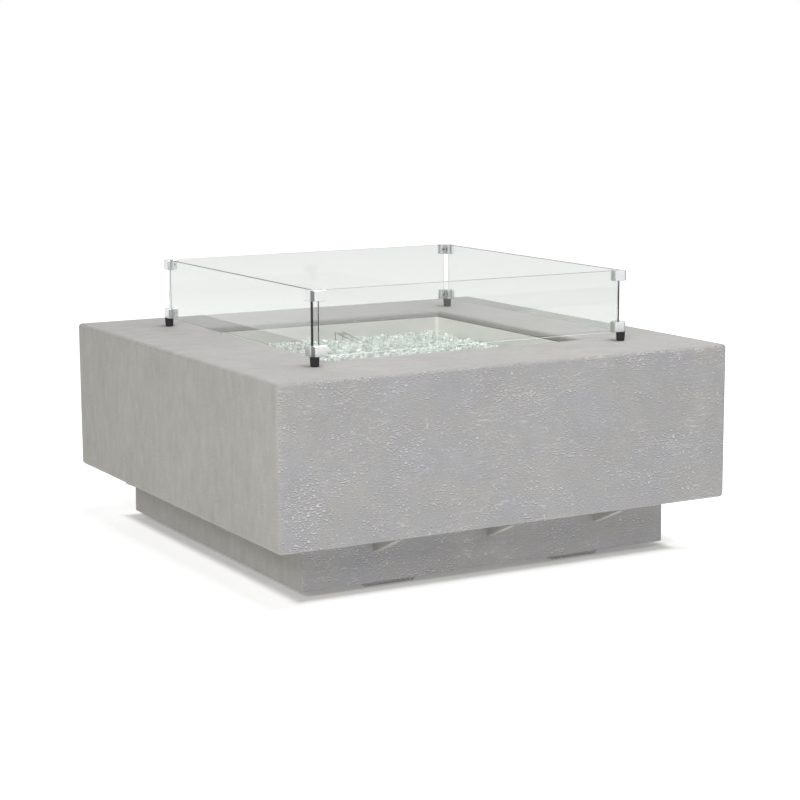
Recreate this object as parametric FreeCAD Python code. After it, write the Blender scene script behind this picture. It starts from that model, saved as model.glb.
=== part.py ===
import FreeCAD, Part
import math
import os

# Square gas fire pit table: a hollow concrete block on a smaller concrete plinth, a steel burner
# pan set in its top, a loose glass wind guard standing round the pan, and the gas controls in a
# recess in the rear wall. Millimetres. +Z is up, the floor is z = 0, the centre of the table is
# x = y = 0, -Y is the front and the controls face +Y.

V = FreeCAD.Vector
X_AXIS = V(1, 0, 0)
Y_AXIS = V(0, 1, 0)
Z_AXIS = V(0, 0, 1)
ORIGIN = V(0, 0, 0)

# Concrete block
table_side = 915.0
block_height = 286.0
block_wall = 16.0
top_thickness = 22.0
return_thickness = 16.0
return_width = 127.5
block_edge_radius = 7.0
inside_corner_radius = 10.0

# Opening in the top, and the thin lip that the pan hangs under
opening_side = 532.0
opening_corner_radius = 6.0
lip_thickness = 12.0
lip_width = 30.0
lip_edge_radius = 6.0

# Concrete plinth, its moulded pads and the ribs that stiffen the overhang of the block
overhang = 80.75
plinth_height = 90.0
plinth_wall = 16.0
plinth_base_thickness = 16.0
plinth_base_width = 96.0
plinth_corner_radius = 4.0
pad_height = 13.0
pad_length = 116.0
pad_depth = 54.0
pad_draft = 10.5
pad_side_draft = 5.0
pad_setback = 20.0
pad_spacing = 388.0
rib_spacing = 229.5
rib_thickness = 15.0
rib_drop = 36.0
rib_tip = 3.0
rib_edge_radius = 1.5

# Steel burner pan
pan_sheet = 1.5
pan_reveal = 3.0
pan_corner_radius = 10.0
pan_floor_drop = 93.0
pan_flange_width = 26.0
pan_bend_radius = 1.3
drain_hole_radius = 4.0
drain_hole_inset = 40.0
lead_hole_radius = 8.0
lead_hole_inset = 48.0

# Clips that press the pan flange up against the lip
clip_strap_thickness = 2.5
clip_strap_width = 25.0
clip_strap_reach = 19.0
clip_strap_foot = 38.0
clip_strap_hole = 16.0

# Brackets between the plinth and the block
bracket_thickness = 3.0
bracket_width = 50.0
bracket_drop = 34.0
bracket_reach = 30.0
bracket_bolt_offset = 17.0
bracket_screw_drop = 20.0

# Fasteners: shank radius, hex across flats, head height and length in the concrete
bolt_radius = 4.0
bolt_flats = 13.0
bolt_head_height = 5.3
clip_screw_radius = 3.0
clip_screw_flats = 10.0
clip_screw_head_height = 4.0
screw_grip = 12.0
screw_hole_depth = 13.0
small_screw_radius = 2.0
small_head_radius = 4.0
small_head_height = 2.4
small_screw_grip = 10.0
small_hole_depth = 11.0
hole_clearance = 0.5
thread_clearance = 0.1
play = 0.3

# Burner: a square ring of mitred tube, a cross tube and a threaded nipple through the pan floor
ring_side = 290.0
ring_tube_radius = 11.0
ring_tube_wall = 1.5
ring_floor_gap = 8.0
port_radius = 1.5
port_pitch = 74.0
ports_per_side = 3
nipple_radius = 10.6
nipple_bore_radius = 8.0
nipple_below_pan = 32.0
hub_flange_radius = 19.0
hub_flange_thickness = 3.0
lock_nut_flats = 30.0
lock_nut_height = 9.0

# Air mixer, gas orifice and gas tubes
mixer_wall = 4.4
mixer_length = 42.0
mixer_overlap = 20.0
mixer_window_width = 9.0
mixer_window_height = 12.0
spud_radius = 6.0
spud_length = 10.0
jet_radius = 1.0
orifice_flats = 17.0
orifice_hex_height = 9.0
tube_nut_flats = 17.0
tube_nut_length = 13.0
tube_radius = 4.75
tube_wall = 1.0
tube_bend_radius = 20.0
burner_tube_lead = 40.0
burner_tube_drop = 45.0

# Fire glass: depth of its surface under the table top at the pan walls and at the crown, its slope
# as shares of the way from the centre to the walls and of the rise, and the lumps of its pieces as
# three crossing waves, each a share of the spacing long and turned by some degrees
glass_wall_drop = 51.0
glass_crown_drop = 28.0
glass_piece_gap = 0.5
heap_slope = ((0.0, 1.0), (0.2, 1.0), (0.48, 0.88), (0.76, 0.62), (1.0, 0.0))
glass_lump_height = 1.7
glass_lump_spacing = 52.0
glass_lump_waves = ((1.0, 20.0), (1.17, 82.0), (0.9, 141.0))
heap_cells = 25

# Pilot: bracket, spark electrode and thermocouple, with a wire guard over them
pilot_offset = 4.0
pilot_sheet = 1.5
pilot_width = 44.0
pilot_ring_gap = 1.0
pilot_shelf_depth = 20.0
pilot_foot_depth = 15.0
pilot_shelf_height = 32.0
pilot_spacing = 22.0
electrode_radius = 3.5
electrode_below_shelf = 12.0
electrode_above_shelf = 17.0
electrode_collar_radius = 5.0
electrode_collar_height = 5.0
electrode_rod_radius = 1.2
electrode_rod_rise = 10.0
thermocouple_radius = 3.0
thermocouple_below_shelf = 14.0
thermocouple_above_shelf = 26.0
thermocouple_nut_flats = 9.0
thermocouple_nut_height = 6.0
guard_wire_radius = 1.0
guard_wire_width = 17.0
guard_rear_gap = 4.0
guard_length = 89.0
guard_rear_drop = 20.0
guard_front_drop = 30.0
guard_cross_radius = 0.8
guard_cross_count = 3
guard_cross_pitch = 8.0

# Control recess in the rear wall
tray_width = 190.0
tray_height = 74.0
tray_depth = 36.0
tray_sheet = 1.5
tray_flange = 16.0
tray_corner_radius = 8.0
tray_fit_gap = 2.0
tray_screw_inset = 9.0
control_height = 196.0
button_x = 58.0
union_offset = 72.0

# Gas valve, on the centre line of the table
valve_width = 52.0
valve_body_height = 34.0
valve_body_length = 55.0
valve_edge_radius = 3.0
valve_neck_radius = 12.0
valve_neck_inside = 15.0
valve_neck_bore = 9.0
valve_neck_wall = 2.0
valve_neck_end_gap = 1.0
valve_nut_flats = 30.0
valve_nut_height = 5.0
valve_port_radius = 9.0
valve_port_length = 9.0
valve_port_inset = 13.0
valve_magnet_radius = 9.5
valve_magnet_length = 24.0
stem_radius = 4.0
stem_fit = 0.06
stem_shoulder_radius = 6.0
stem_shoulder_length = 1.5
stem_flat_depth = 1.5
stem_tail = 20.0
knob_travel = 3.0
washer_thickness = 1.5
stem_spring_wire = 1.2
stem_spring_radius = 6.6
stem_spring_turns = 4

# Knob and bezel
knob_radius = 20.0
knob_skirt_radius = 23.0
knob_skirt_length = 4.0
knob_length = 20.0
knob_taper = 1.0
knob_grip_width = 12.0
knob_grip_length = 32.0
knob_grip_height = 6.0
knob_grip_corner = 4.8
knob_bore_depth = 12.0
knob_pointer_width = 2.0
knob_pointer_depth = 1.0
knob_rest_gap = 12.5
bezel_radius = 26.0
bezel_thickness = 2.0

# Battery igniter
igniter_radius = 12.0
igniter_neck_radius = 10.0
igniter_neck_length = 6.0
igniter_end_wall = 3.0
igniter_front_wall = 2.0
ring_nut_radius = 14.0
ring_nut_thickness = 3.5
battery_radius = 7.25
battery_length = 50.5
battery_tip_radius = 2.7
battery_tip_length = 1.5
battery_gap = 0.3
button_radius = 7.9
button_fit = 0.1
button_collar_radius = 9.0
button_collar_length = 3.0
button_stand = 7.0
button_dome = 1.2
button_travel = 3.5
button_spring_length = 12.0
button_spring_wire = 1.0
button_spring_radius = 5.0
button_spring_turns = 4

# Gas inlet union, in the control recess
union_thread_radius = 7.94
union_thread_length = 13.0
union_bore_radius = 4.0
union_cone_length = 4.0
union_cone_draw = 3.0
union_flats = 22.0
union_hex_height = 8.0
union_inner_length = 20.0
union_nut_height = 8.0

# Wind guard: four loose panes, eight corner clips and four rubber feet
guard_spacing = 636.0
glass_thickness = 5.0
glass_edge = 0.5
foot_height = 17.2
foot_top_radius = 8.6
foot_bottom_radius = 7.6
foot_edge = 1.2
foot_peg_radius = 3.0
foot_peg_length = 8.0
pane_height = 114.3
clip_height = 19.0
clip_half_width = 8.75
clip_leg = 18.75
clip_edge = 0.6
gasket_thickness = 0.75
gasket_stand = 0.8
pane_end_inset = 8.0

# Levels and half sizes worked out from the values above
plinth_bottom = pad_height
block_bottom = pad_height + plinth_height
block_top = block_bottom + block_height
block_half = table_side / 2
plinth_half = block_half - overhang
plinth_inside = plinth_half - plinth_wall
return_half = block_half - return_width
slab_underside = block_top - top_thickness
lip_underside = block_top - lip_thickness
opening_half = opening_side / 2
rebate_half = opening_half + lip_width
pan_half = opening_half - pan_reveal
flange_half = pan_half + pan_sheet + pan_flange_width
pan_floor = block_top - pan_floor_drop
ring_half = ring_side / 2
ring_level = pan_floor + ring_floor_gap + ring_tube_radius
nipple_bottom = pan_floor - pan_sheet - nipple_below_pan
mixer_radius = nipple_radius + mixer_wall
mixer_bottom = nipple_bottom + mixer_overlap - mixer_length
orifice_bottom = mixer_bottom - orifice_hex_height
pilot_x = -pilot_offset
pilot_y = ring_half + ring_tube_radius + pilot_ring_gap + pilot_shelf_depth
pilot_shelf = pan_floor + pilot_shelf_height
guard_rear_y = pilot_y + pilot_sheet + pilot_foot_depth + guard_rear_gap
tray_rebate = tray_sheet + small_head_height
tray_back = block_half - tray_depth
tray_rear = tray_back - tray_sheet
valve_front = tray_rear - valve_neck_inside
valve_rear = valve_front - valve_body_length
valve_port_y = valve_rear + valve_port_inset
neck_end = tray_back + bezel_thickness + valve_nut_height + valve_neck_end_gap
shoulder_front = neck_end - valve_neck_wall - play
washer_front = shoulder_front - stem_shoulder_length
washer_rear = washer_front - washer_thickness
knob_back = tray_back + knob_rest_gap
collar_front = tray_rear - igniter_front_wall
battery_front = collar_front - button_collar_length - button_spring_length
battery_rear = battery_front - battery_tip_length - battery_length
union_x = -union_offset
union_inner_end = tray_rear - union_inner_length
guard_half = guard_spacing / 2
pane_bottom = block_top + foot_height
pane_top = pane_bottom + pane_height
pane_half_length = guard_half - pane_end_inset


def box(low, high, corner=0.0, axis=Z_AXIS):
    """Box between two corners, with the four edges along one axis rounded."""
    size = high - low
    solid = Part.makeBox(size.x, size.y, size.z, low)
    if corner <= 0:
        return solid
    along = [edge for edge in solid.Edges if abs(edge.tangentAt(edge.FirstParameter).dot(axis)) > 0.9]
    return solid.makeFillet(corner, along)


def square_slab(half, low, high, corner=0.0):
    """Square prism round the centre of the table between two levels."""
    return box(V(-half, -half, low), V(half, half, high), corner)


def rod(radius, start, end):
    """Round bar from one point to another."""
    run = end - start
    return Part.makeCylinder(radius, run.Length, start, run)


def tube(outer, bore, start, end):
    """Round tube from one point to another."""
    return rod(outer, start, end).cut(rod(bore, start, end))


def hexagon_bar(flats, start, end):
    """Hexagonal bar from one point to another, by its width across flats."""
    run = end - start
    side = Part.makeCircle(flats / math.sqrt(3), start, run)
    corners = [side.valueAt(side.FirstParameter + math.pi / 3 * turn) for turn in range(7)]
    return Part.Face(Part.makePolygon(corners)).extrude(run)


def bent_rod(points, bend, radius):
    """Round bar of straight runs joined by tangent bends."""
    pieces = []
    start = points[0]
    for before, corner, after in zip(points, points[1:], points[2:]):
        into = (corner - before).normalize()
        out = (after - corner).normalize()
        turn = into.getAngle(out)
        setback = bend * math.tan(turn / 2)
        bend_start = corner - into * setback
        bend_axis = into.cross(out)
        centre = bend_start + bend_axis.cross(into).normalize() * bend
        disc = Part.Face(Part.Wire(Part.makeCircle(radius, bend_start, into)))
        pieces.append(rod(radius, start, bend_start))
        pieces.append(disc.revolve(centre, bend_axis, math.degrees(turn)))
        start = corner + out * setback
    pieces.append(rod(radius, start, points[-1]))
    return pieces[0].fuse(pieces[1:])


def mitred_loop(half, level, radius):
    """Four round bars along a square, each cut at 45 degrees where two meet."""
    side = rod(radius, V(-half - radius, -half, level), V(half + radius, -half, level))
    far = half + radius
    corners = [V(-far, -far, level), V(far, -far, level), V(0, 0, level)]
    wedge = Part.Face(Part.makePolygon(corners + corners[:1])).extrude(Z_AXIS * radius * 2)
    wedge.translate(Z_AXIS * -radius)
    bars = four_sides(side.common(wedge))
    return bars[0].fuse(bars[1:])


def turned(profile, base, axis):
    """Solid of revolution: profile holds (radius, distance along the axis) pairs."""
    corners = [V(radius, 0, along) for radius, along in profile]
    face = Part.Face(Part.makePolygon(corners + corners[:1]))
    solid = face.revolve(ORIGIN, Z_AXIS, 360)
    solid.Placement = FreeCAD.Placement(base, FreeCAD.Rotation(Z_AXIS, axis))
    return solid


def four_sides(shape):
    """The shape of one side of the table, repeated on all four sides."""
    return [shape.copy().rotate(ORIGIN, Z_AXIS, 90 * side) for side in range(4)]


def tangent_arc(start, corner, end):
    """Arc between two points, tangent there to the lines from each of them to a corner."""
    middle = (start + end) / 2
    half_chord = (end - start).Length / 2
    turn = (corner - start).getAngle(end - start)
    crown = middle + (corner - middle).normalize() * half_chord * math.tan(turn / 2)
    return Part.Arc(start, crown, end).toShape()


def coil(radius, wire, turns, base, axis, length):
    """Spring of square wire; each half turn is a pair of tangent arcs."""
    rise = (length - wire) / (turns * 2)
    slope = rise / (math.pi * radius)
    arcs = []
    for half_turn in range(turns * 2):
        side = 1 if half_turn % 2 == 0 else -1
        start = V(side * radius, 0, wire / 2 + rise * half_turn)
        end = V(-side * radius, 0, start.z + rise)
        leave = V(0, side, slope).normalize()
        arrive = V(0, -side, slope).normalize()
        chord = end - start
        bend = 2 * (1 - leave.dot(arrive))
        along = chord.dot(leave + arrive)
        reach = (math.sqrt(along ** 2 + bend * chord.dot(chord)) - along) / bend
        joint = (start + end + (leave - arrive) * reach) / 2
        arcs.append(tangent_arc(start, start + leave * reach, joint))
        arcs.append(tangent_arc(joint, end - arrive * reach, end))
    half = wire / 2
    leave = V(0, 1, slope).normalize()
    up = X_AXIS.cross(leave) * half
    across = X_AXIS * half
    first = V(radius, 0, half)
    corners = [first - across - up, first + across - up, first + across + up, first - across + up]
    section = Part.makePolygon(corners + corners[:1])
    spring = Part.Wire(arcs).makePipeShell([section], True, False)
    spring.Placement = FreeCAD.Placement(base, FreeCAD.Rotation(Z_AXIS, axis))
    return spring


def group(solids):
    """Several separate solids as one node."""
    return Part.makeCompound([piece for solid in solids for piece in solid.Solids])


# Where the fasteners go

def clip_screw_point():
    """Screw of the front pan clip, at the underside of the slab."""
    return V(0, -(rebate_half + clip_strap_hole), slab_underside)


def wall_screw_point():
    """Bolt of the front bracket, at the inner face of the plinth wall."""
    return V(0, -plinth_inside, block_bottom - bracket_screw_drop)


def block_bolt_point():
    """Bolt of the front bracket, at the underside of the block."""
    return V(0, bracket_bolt_offset - plinth_inside, block_bottom)


def tray_screw_points():
    """The two screws of the control recess, at the rear side of its flange."""
    across = tray_width / 2 + tray_screw_inset
    seat = block_half - tray_rebate
    return [V(side * across, seat, control_height) for side in (-1, 1)]


def hex_screw(point, direction, radius, flats, head, length):
    """Hex-head screw whose head bears at a point and whose shank runs along a direction."""
    return hexagon_bar(flats, point - direction * head, point).fuse(
        rod(radius, point, point + direction * length))


# Concrete

def table_block():
    """Hollow block with a square opening, a thin lip round it and an inward return underneath."""
    solid = square_slab(block_half, block_bottom, block_top)
    solid = solid.makeFillet(block_edge_radius, solid.Edges)
    cavity_floor = block_bottom + return_thickness
    inner_half = block_half - block_wall
    solid = solid.cut(square_slab(inner_half, cavity_floor, slab_underside, inside_corner_radius))
    solid = solid.cut(square_slab(return_half, block_bottom, cavity_floor, inside_corner_radius))
    solid = solid.cut(square_slab(opening_half, slab_underside, block_top, opening_corner_radius))
    on_lip = [edge for edge in solid.Edges if is_lip_edge(edge)]
    solid = solid.makeFillet(lip_edge_radius, on_lip)
    solid = solid.cut(square_slab(rebate_half, slab_underside, lip_underside, opening_corner_radius))
    solid = solid.cut(tray_cutout())
    clip = clip_screw_point()
    bolt = block_bolt_point()
    holes = four_sides(rod(clip_screw_radius + thread_clearance, clip, clip + Z_AXIS * screw_hole_depth))
    holes += four_sides(rod(bolt_radius + thread_clearance, bolt, bolt + Z_AXIS * screw_hole_depth))
    for point in tray_screw_points():
        holes.append(rod(small_screw_radius + thread_clearance, point - Y_AXIS * small_hole_depth, point))
    for hole in holes:
        solid = solid.cut(hole)
    return solid


def is_lip_edge(edge):
    """True for an edge of the opening in the top surface of the block."""
    size = edge.BoundBox
    inside = max(abs(size.XMin), abs(size.XMax), abs(size.YMin), abs(size.YMax)) < rebate_half
    return inside and size.ZMin > lip_underside


def tray_cutout():
    """Hole in the rear wall for the control recess, with a shallow rebate for its flange."""
    half = V(tray_width / 2 + tray_fit_gap, 0, tray_height / 2 + tray_fit_gap)
    centre = V(0, block_half, control_height)
    hole = box(centre - half - Y_AXIS * block_wall, centre + half, tray_corner_radius, Y_AXIS)
    rim = V(tray_width / 2 + tray_flange + play, 0, tray_height / 2 + tray_flange + play)
    return hole.fuse(box(centre - rim - Y_AXIS * tray_rebate, centre + rim, tray_corner_radius, Y_AXIS))


def plinth():
    """Open ring with a base flange, two drafted pads under each side and three ribs on its wall."""
    solid = square_slab(plinth_half, plinth_bottom, block_bottom, plinth_corner_radius)
    base_top = plinth_bottom + plinth_base_thickness
    solid = solid.cut(square_slab(plinth_inside, base_top, block_bottom, inside_corner_radius))
    hole_half = plinth_half - plinth_base_width
    solid = solid.cut(square_slab(hole_half, plinth_bottom, base_top, inside_corner_radius))
    pads = [copy for x in (-pad_spacing / 2, pad_spacing / 2) for copy in four_sides(moulded_pad(x))]
    ribs = [copy for x in (-rib_spacing, 0, rib_spacing) for copy in four_sides(overhang_rib(x))]
    solid = solid.fuse(pads + ribs).removeSplitter()
    point = wall_screw_point()
    hole = rod(bolt_radius + thread_clearance, point - Y_AXIS * screw_hole_depth, point)
    for copy in four_sides(hole):
        solid = solid.cut(copy)
    return solid


def moulded_pad(x):
    """One pad of the front side: a rectangle at the plinth that draws in towards the floor."""
    loops = []
    for level, share in ((plinth_bottom, 0), (0, 1)):
        left = x - pad_length / 2 + pad_draft * share
        right = x + pad_length / 2 - pad_draft * share
        front = pad_setback - plinth_half + pad_side_draft * share
        back = pad_setback - plinth_half + pad_depth - pad_side_draft * share
        corners = [V(left, front, level), V(right, front, level), V(right, back, level), V(left, back, level)]
        loops.append(Part.makePolygon(corners + corners[:1]))
    return Part.makeLoft(loops, True, True)


def overhang_rib(x):
    """One rib of the front side: its top lies under the block, and it thins out to the block's edge."""
    root = plinth_wall / 2 - plinth_half
    tip = block_edge_radius - block_half
    outline = [(root, block_bottom), (tip, block_bottom), (tip, block_bottom - rib_tip),
               (-plinth_half, block_bottom - rib_drop), (root, block_bottom - rib_drop)]
    corners = [V(x - rib_thickness / 2, y, z) for y, z in outline]
    solid = Part.Face(Part.makePolygon(corners + corners[:1])).extrude(X_AXIS * rib_thickness)
    slope = [edge for edge in solid.Edges if is_rib_slope(edge)]
    return solid.makeFillet(rib_edge_radius, slope)


def is_rib_slope(edge):
    """True for the two long edges of a rib's sloping face."""
    return edge.BoundBox.YLength > overhang / 2 and edge.BoundBox.ZLength > rib_drop / 2


# Brackets between the plinth and the block

def joint_brackets():
    """Steel angles inside the plinth, one on each side, that the block is bolted to."""
    half = bracket_width / 2
    wall = -plinth_inside
    under = block_bottom - bracket_thickness
    upright = box(V(-half, wall, block_bottom - bracket_drop), V(half, wall + bracket_thickness, block_bottom))
    shelf = box(V(-half, wall, under), V(half, wall + bracket_reach, block_bottom))
    angle = upright.fuse(shelf).removeSplitter()
    bolt = block_bolt_point()
    angle = angle.cut(rod(bolt_radius + hole_clearance, bolt - Z_AXIS * bracket_thickness, bolt))
    screw = wall_screw_point()
    angle = angle.cut(rod(bolt_radius + hole_clearance, screw, screw + Y_AXIS * bracket_thickness))
    return group(four_sides(angle))


def bracket_bolts():
    """Two bolts for each bracket: one up into the block and one out into the plinth wall."""
    length = bracket_thickness + screw_grip
    solids = []
    for point, direction in ((block_bolt_point(), Z_AXIS), (wall_screw_point(), -Y_AXIS)):
        seat = point - direction * bracket_thickness
        bolt = hex_screw(seat, direction, bolt_radius, bolt_flats, bolt_head_height, length)
        solids += four_sides(bolt)
    return group(solids)


# Burner pan

def burner_pan():
    """Folded steel tray with an outward flange that bears on the underside of the lip."""
    under_floor = pan_floor - pan_sheet
    outer_corner = pan_corner_radius + pan_sheet
    shell = square_slab(pan_half + pan_sheet, under_floor, lip_underside, outer_corner)
    shell = shell.fuse(square_slab(flange_half, lip_underside - pan_sheet, lip_underside, outer_corner))
    shell = shell.cut(square_slab(pan_half, pan_floor, lip_underside, pan_corner_radius))
    rim = [edge for edge in shell.Edges if is_pan_rim(edge)]
    shell = shell.makeFillet(pan_bend_radius, rim)
    sheet = Z_AXIS * pan_sheet
    corner = V(pan_half - drain_hole_inset, pan_half - drain_hole_inset, under_floor)
    lead = lead_hole() - sheet
    holes = four_sides(rod(drain_hole_radius, corner, corner + sheet))
    holes.append(rod(nipple_radius + hole_clearance, V(0, 0, under_floor), V(0, 0, pan_floor)))
    holes.append(rod(lead_hole_radius, lead, lead + sheet))
    for hole in holes:
        shell = shell.cut(hole)
    return shell


def is_pan_rim(edge):
    """True for an inner edge of the pan at the level of its flange."""
    size = edge.BoundBox
    inside = max(abs(size.XMin), abs(size.XMax), abs(size.YMin), abs(size.YMax)) < pan_half + pan_sheet / 2
    return inside and size.ZMin > lip_underside - pan_sheet / 2


def lead_hole():
    """Hole in the pan floor for the leads of the pilot."""
    return V(pilot_x, pan_half - lead_hole_inset, pan_floor)


def pan_clips():
    """Stepped straps, one on each side, that hold the pan flange up against the lip."""
    under = lip_underside - pan_sheet
    step = -(rebate_half - hole_clearance)
    inner = step + clip_strap_reach
    outer = step - clip_strap_foot
    thick = clip_strap_thickness
    level = slab_underside
    outline = [(inner, under), (step, under), (step, level), (outer, level), (outer, level - thick),
               (step + thick, level - thick), (step + thick, under - thick), (inner, under - thick)]
    corners = [V(-clip_strap_width / 2, y, z) for y, z in outline]
    strap = Part.Face(Part.makePolygon(corners + corners[:1])).extrude(X_AXIS * clip_strap_width)
    point = clip_screw_point()
    strap = strap.cut(rod(clip_screw_radius + hole_clearance, point - Z_AXIS * thick, point))
    return group(four_sides(strap))


def pan_clip_screws():
    """Hex screws of the pan clips."""
    seat = clip_screw_point() - Z_AXIS * clip_strap_thickness
    length = clip_strap_thickness + screw_grip
    screw = hex_screw(seat, Z_AXIS, clip_screw_radius, clip_screw_flats, clip_screw_head_height, length)
    return group(four_sides(screw))


# Burner

def cross_ends():
    """Ends of the cross tube, on the centre line of the ring."""
    return V(-ring_half, 0, ring_level), V(ring_half, 0, ring_level)


def burner_ring():
    """Square tube ring and cross tube with gas ports, and the threaded nipple at the centre."""
    bore = ring_tube_radius - ring_tube_wall
    base = V(0, 0, nipple_bottom)
    hub = V(0, 0, ring_level)
    flange = rod(hub_flange_radius, V(0, 0, pan_floor), V(0, 0, pan_floor + hub_flange_thickness))
    cross = rod(ring_tube_radius, *cross_ends())
    solid = mitred_loop(ring_half, ring_level, ring_tube_radius)
    solid = solid.fuse([cross, rod(nipple_radius, base, hub), flange])
    inside = mitred_loop(ring_half, ring_level, bore).fuse(rod(bore, *cross_ends()))
    solid = solid.cut(inside)
    solid = solid.cut(rod(nipple_bore_radius, base, hub))
    for port in burner_ports():
        solid = solid.cut(port)
    return solid


def burner_ports():
    """Drillings through the top of the ring and of the cross tube."""
    top = Z_AXIS * ring_tube_radius
    first = -(ports_per_side - 1) / 2
    ports = []
    for number in range(ports_per_side):
        along = (first + number) * port_pitch
        base = V(along, -ring_half, ring_level)
        ports += four_sides(rod(port_radius, base, base + top))
        if abs(along) > nipple_radius:
            cross = V(along, 0, ring_level)
            ports.append(rod(port_radius, cross, cross + top))
    return ports


def burner_lock_nut():
    """Hex nut under the pan floor that clamps the burner."""
    top = V(0, 0, pan_floor - pan_sheet)
    bottom = top - Z_AXIS * lock_nut_height
    return hexagon_bar(lock_nut_flats, bottom, top).cut(rod(nipple_radius + thread_clearance, bottom, top))


def air_mixer():
    """Sleeve under the nipple with windows that let air in round the jet."""
    bottom = V(0, 0, mixer_bottom)
    top = V(0, 0, mixer_bottom + mixer_length)
    spud_top = bottom + Z_AXIS * spud_length
    nipple_end = V(0, 0, nipple_bottom)
    solid = rod(mixer_radius, bottom, top)
    solid = solid.cut(rod(nipple_radius + thread_clearance, nipple_end, top))
    solid = solid.cut(rod(nipple_bore_radius, spud_top, nipple_end))
    solid = solid.cut(rod(spud_radius + thread_clearance, bottom, spud_top))
    half = V(mixer_window_width / 2, mixer_radius, 0)
    window = box(spud_top - half, spud_top + half + Z_AXIS * mixer_window_height)
    solid = solid.cut(window)
    return solid.cut(window.rotate(ORIGIN, Z_AXIS, 90))


def gas_orifice():
    """Brass spud with its jet, screwed into the bottom of the mixer."""
    bottom = V(0, 0, orifice_bottom)
    shoulder = V(0, 0, mixer_bottom)
    top = shoulder + Z_AXIS * spud_length
    solid = hexagon_bar(orifice_flats, bottom, shoulder).fuse(rod(spud_radius, shoulder, top))
    return solid.cut(rod(jet_radius, bottom, top))


# Fire glass

def fire_glass():
    """Heap of crushed glass: low at the pan walls, crowned in the middle, round the burner."""
    half = pan_half - glass_piece_gap
    heap = glass_heap().common(square_slab(half, pan_floor, block_top, pan_corner_radius))
    for piece in buried_room():
        heap = heap.cut(piece)
    return heap


def glass_heap():
    """Block with an uneven faceted top, as wide as the pan: a net of triangles closed by walls."""
    base = pan_floor - pan_sheet
    line = [pan_half * (2 * number / heap_cells - 1) for number in range(heap_cells + 1)]
    net = [[V(x, y, glass_level(x, y)) for y in line] for x in line]
    outlines = []
    for row in range(heap_cells):
        for column in range(heap_cells):
            near, right = net[row][column], net[row + 1][column]
            left, far = net[row][column + 1], net[row + 1][column + 1]
            if (row + column) % 2 == 0:
                outlines += [(near, right, far), (near, far, left)]
            else:
                outlines += [(near, right, left), (right, far, left)]
    edges = [net[0], net[-1], [row[0] for row in net], [row[-1] for row in net]]
    for edge in edges:
        ends = [V(point.x, point.y, base) for point in (edge[-1], edge[0])]
        outlines.append(edge + ends)
    corners = [net[0][0], net[-1][0], net[-1][-1], net[0][-1]]
    outlines.append([V(point.x, point.y, base) for point in corners])
    faces = [Part.Face(Part.makePolygon(list(points) + [points[0]])) for points in outlines]
    shell = Part.makeShell(faces)
    shell.sewShape()
    return Part.makeSolid(shell)


def glass_level(x, y):
    """Height of the heap's surface: the slope towards the walls, with the lumps on it."""
    share = min(1, max(abs(x), abs(y)) / (pan_half - glass_piece_gap))
    rise = 0
    for (near, high), (far, low) in zip(heap_slope, heap_slope[1:]):
        if near <= share <= far:
            rise = high + (low - high) * (share - near) / (far - near)
    lumps = 0
    for length, turn in glass_lump_waves:
        along = x * math.cos(math.radians(turn)) + y * math.sin(math.radians(turn))
        lumps += math.sin(2 * math.pi * along / (length * glass_lump_spacing))
    level = block_top - glass_wall_drop + (glass_wall_drop - glass_crown_drop) * rise
    return level + glass_lump_height * lumps


def buried_room():
    """Room in the glass for the burner, the pilot and its wire guard."""
    reach = ring_tube_radius + glass_piece_gap
    top = ring_level + reach
    trench = square_slab(ring_half + reach, pan_floor, top).cut(square_slab(ring_half - reach, pan_floor, top))
    cross = box(V(-ring_half, -reach, pan_floor), V(ring_half, reach, top))
    hub = square_slab(hub_flange_radius + glass_piece_gap, pan_floor, top)
    lead_reach = lead_hole_radius + glass_piece_gap
    half = max(pilot_width / 2, lead_reach) + glass_piece_gap
    lead_end = pan_half - lead_hole_inset + lead_reach
    foot_end = pilot_y + pilot_sheet + pilot_foot_depth + glass_piece_gap
    pilot = box(V(pilot_x - half, ring_half, pan_floor), V(pilot_x + half, foot_end, block_top))
    leads = box(V(pilot_x - lead_reach, ring_half, pan_floor),
                V(pilot_x + lead_reach, max(lead_end, foot_end), top))
    return [trench, cross, hub, pilot, leads] + [guard_slot(side) for side in (-1, 1)]


def guard_slot(side):
    """Slot in the glass for one rail of the wire guard and its two legs."""
    reach = guard_wire_radius + glass_piece_gap
    rear, front = guard_rail(side)
    low_y = front.y - reach
    high_y = rear.y + reach
    outline = [(low_y, pan_floor), (high_y, pan_floor), (high_y, block_top), (low_y, block_top)]
    corners = [V(rear.x - reach, y, z) for y, z in outline]
    slot = Part.Face(Part.makePolygon(corners + corners[:1])).extrude(X_AXIS * reach * 2)
    under = V(rear.x - reach, low_y + reach * 2, pan_floor)
    return slot.cut(box(under, V(rear.x + reach, high_y - reach * 2, front.z - reach)))


# Pilot

def pilot_seat(side):
    """Where the electrode (-1) or the thermocouple (1) passes through the pilot shelf."""
    return V(pilot_x + side * pilot_spacing / 2, pilot_y - pilot_shelf_depth / 2, pilot_shelf)


def pilot_bracket():
    """Steel strip folded into a foot, an upright and a shelf."""
    left = pilot_x - pilot_width / 2
    right = pilot_x + pilot_width / 2
    back = pilot_y + pilot_sheet
    foot = box(V(left, pilot_y, pan_floor), V(right, back + pilot_foot_depth, pan_floor + pilot_sheet))
    upright = box(V(left, pilot_y, pan_floor), V(right, back, pilot_shelf))
    shelf = box(V(left, pilot_y - pilot_shelf_depth, pilot_shelf - pilot_sheet), V(right, back, pilot_shelf))
    solid = foot.fuse([upright, shelf]).removeSplitter()
    for side, radius in ((-1, electrode_radius), (1, thermocouple_radius)):
        seat = pilot_seat(side)
        solid = solid.cut(rod(radius + thread_clearance, seat - Z_AXIS * pilot_sheet, seat))
    return solid


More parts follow.
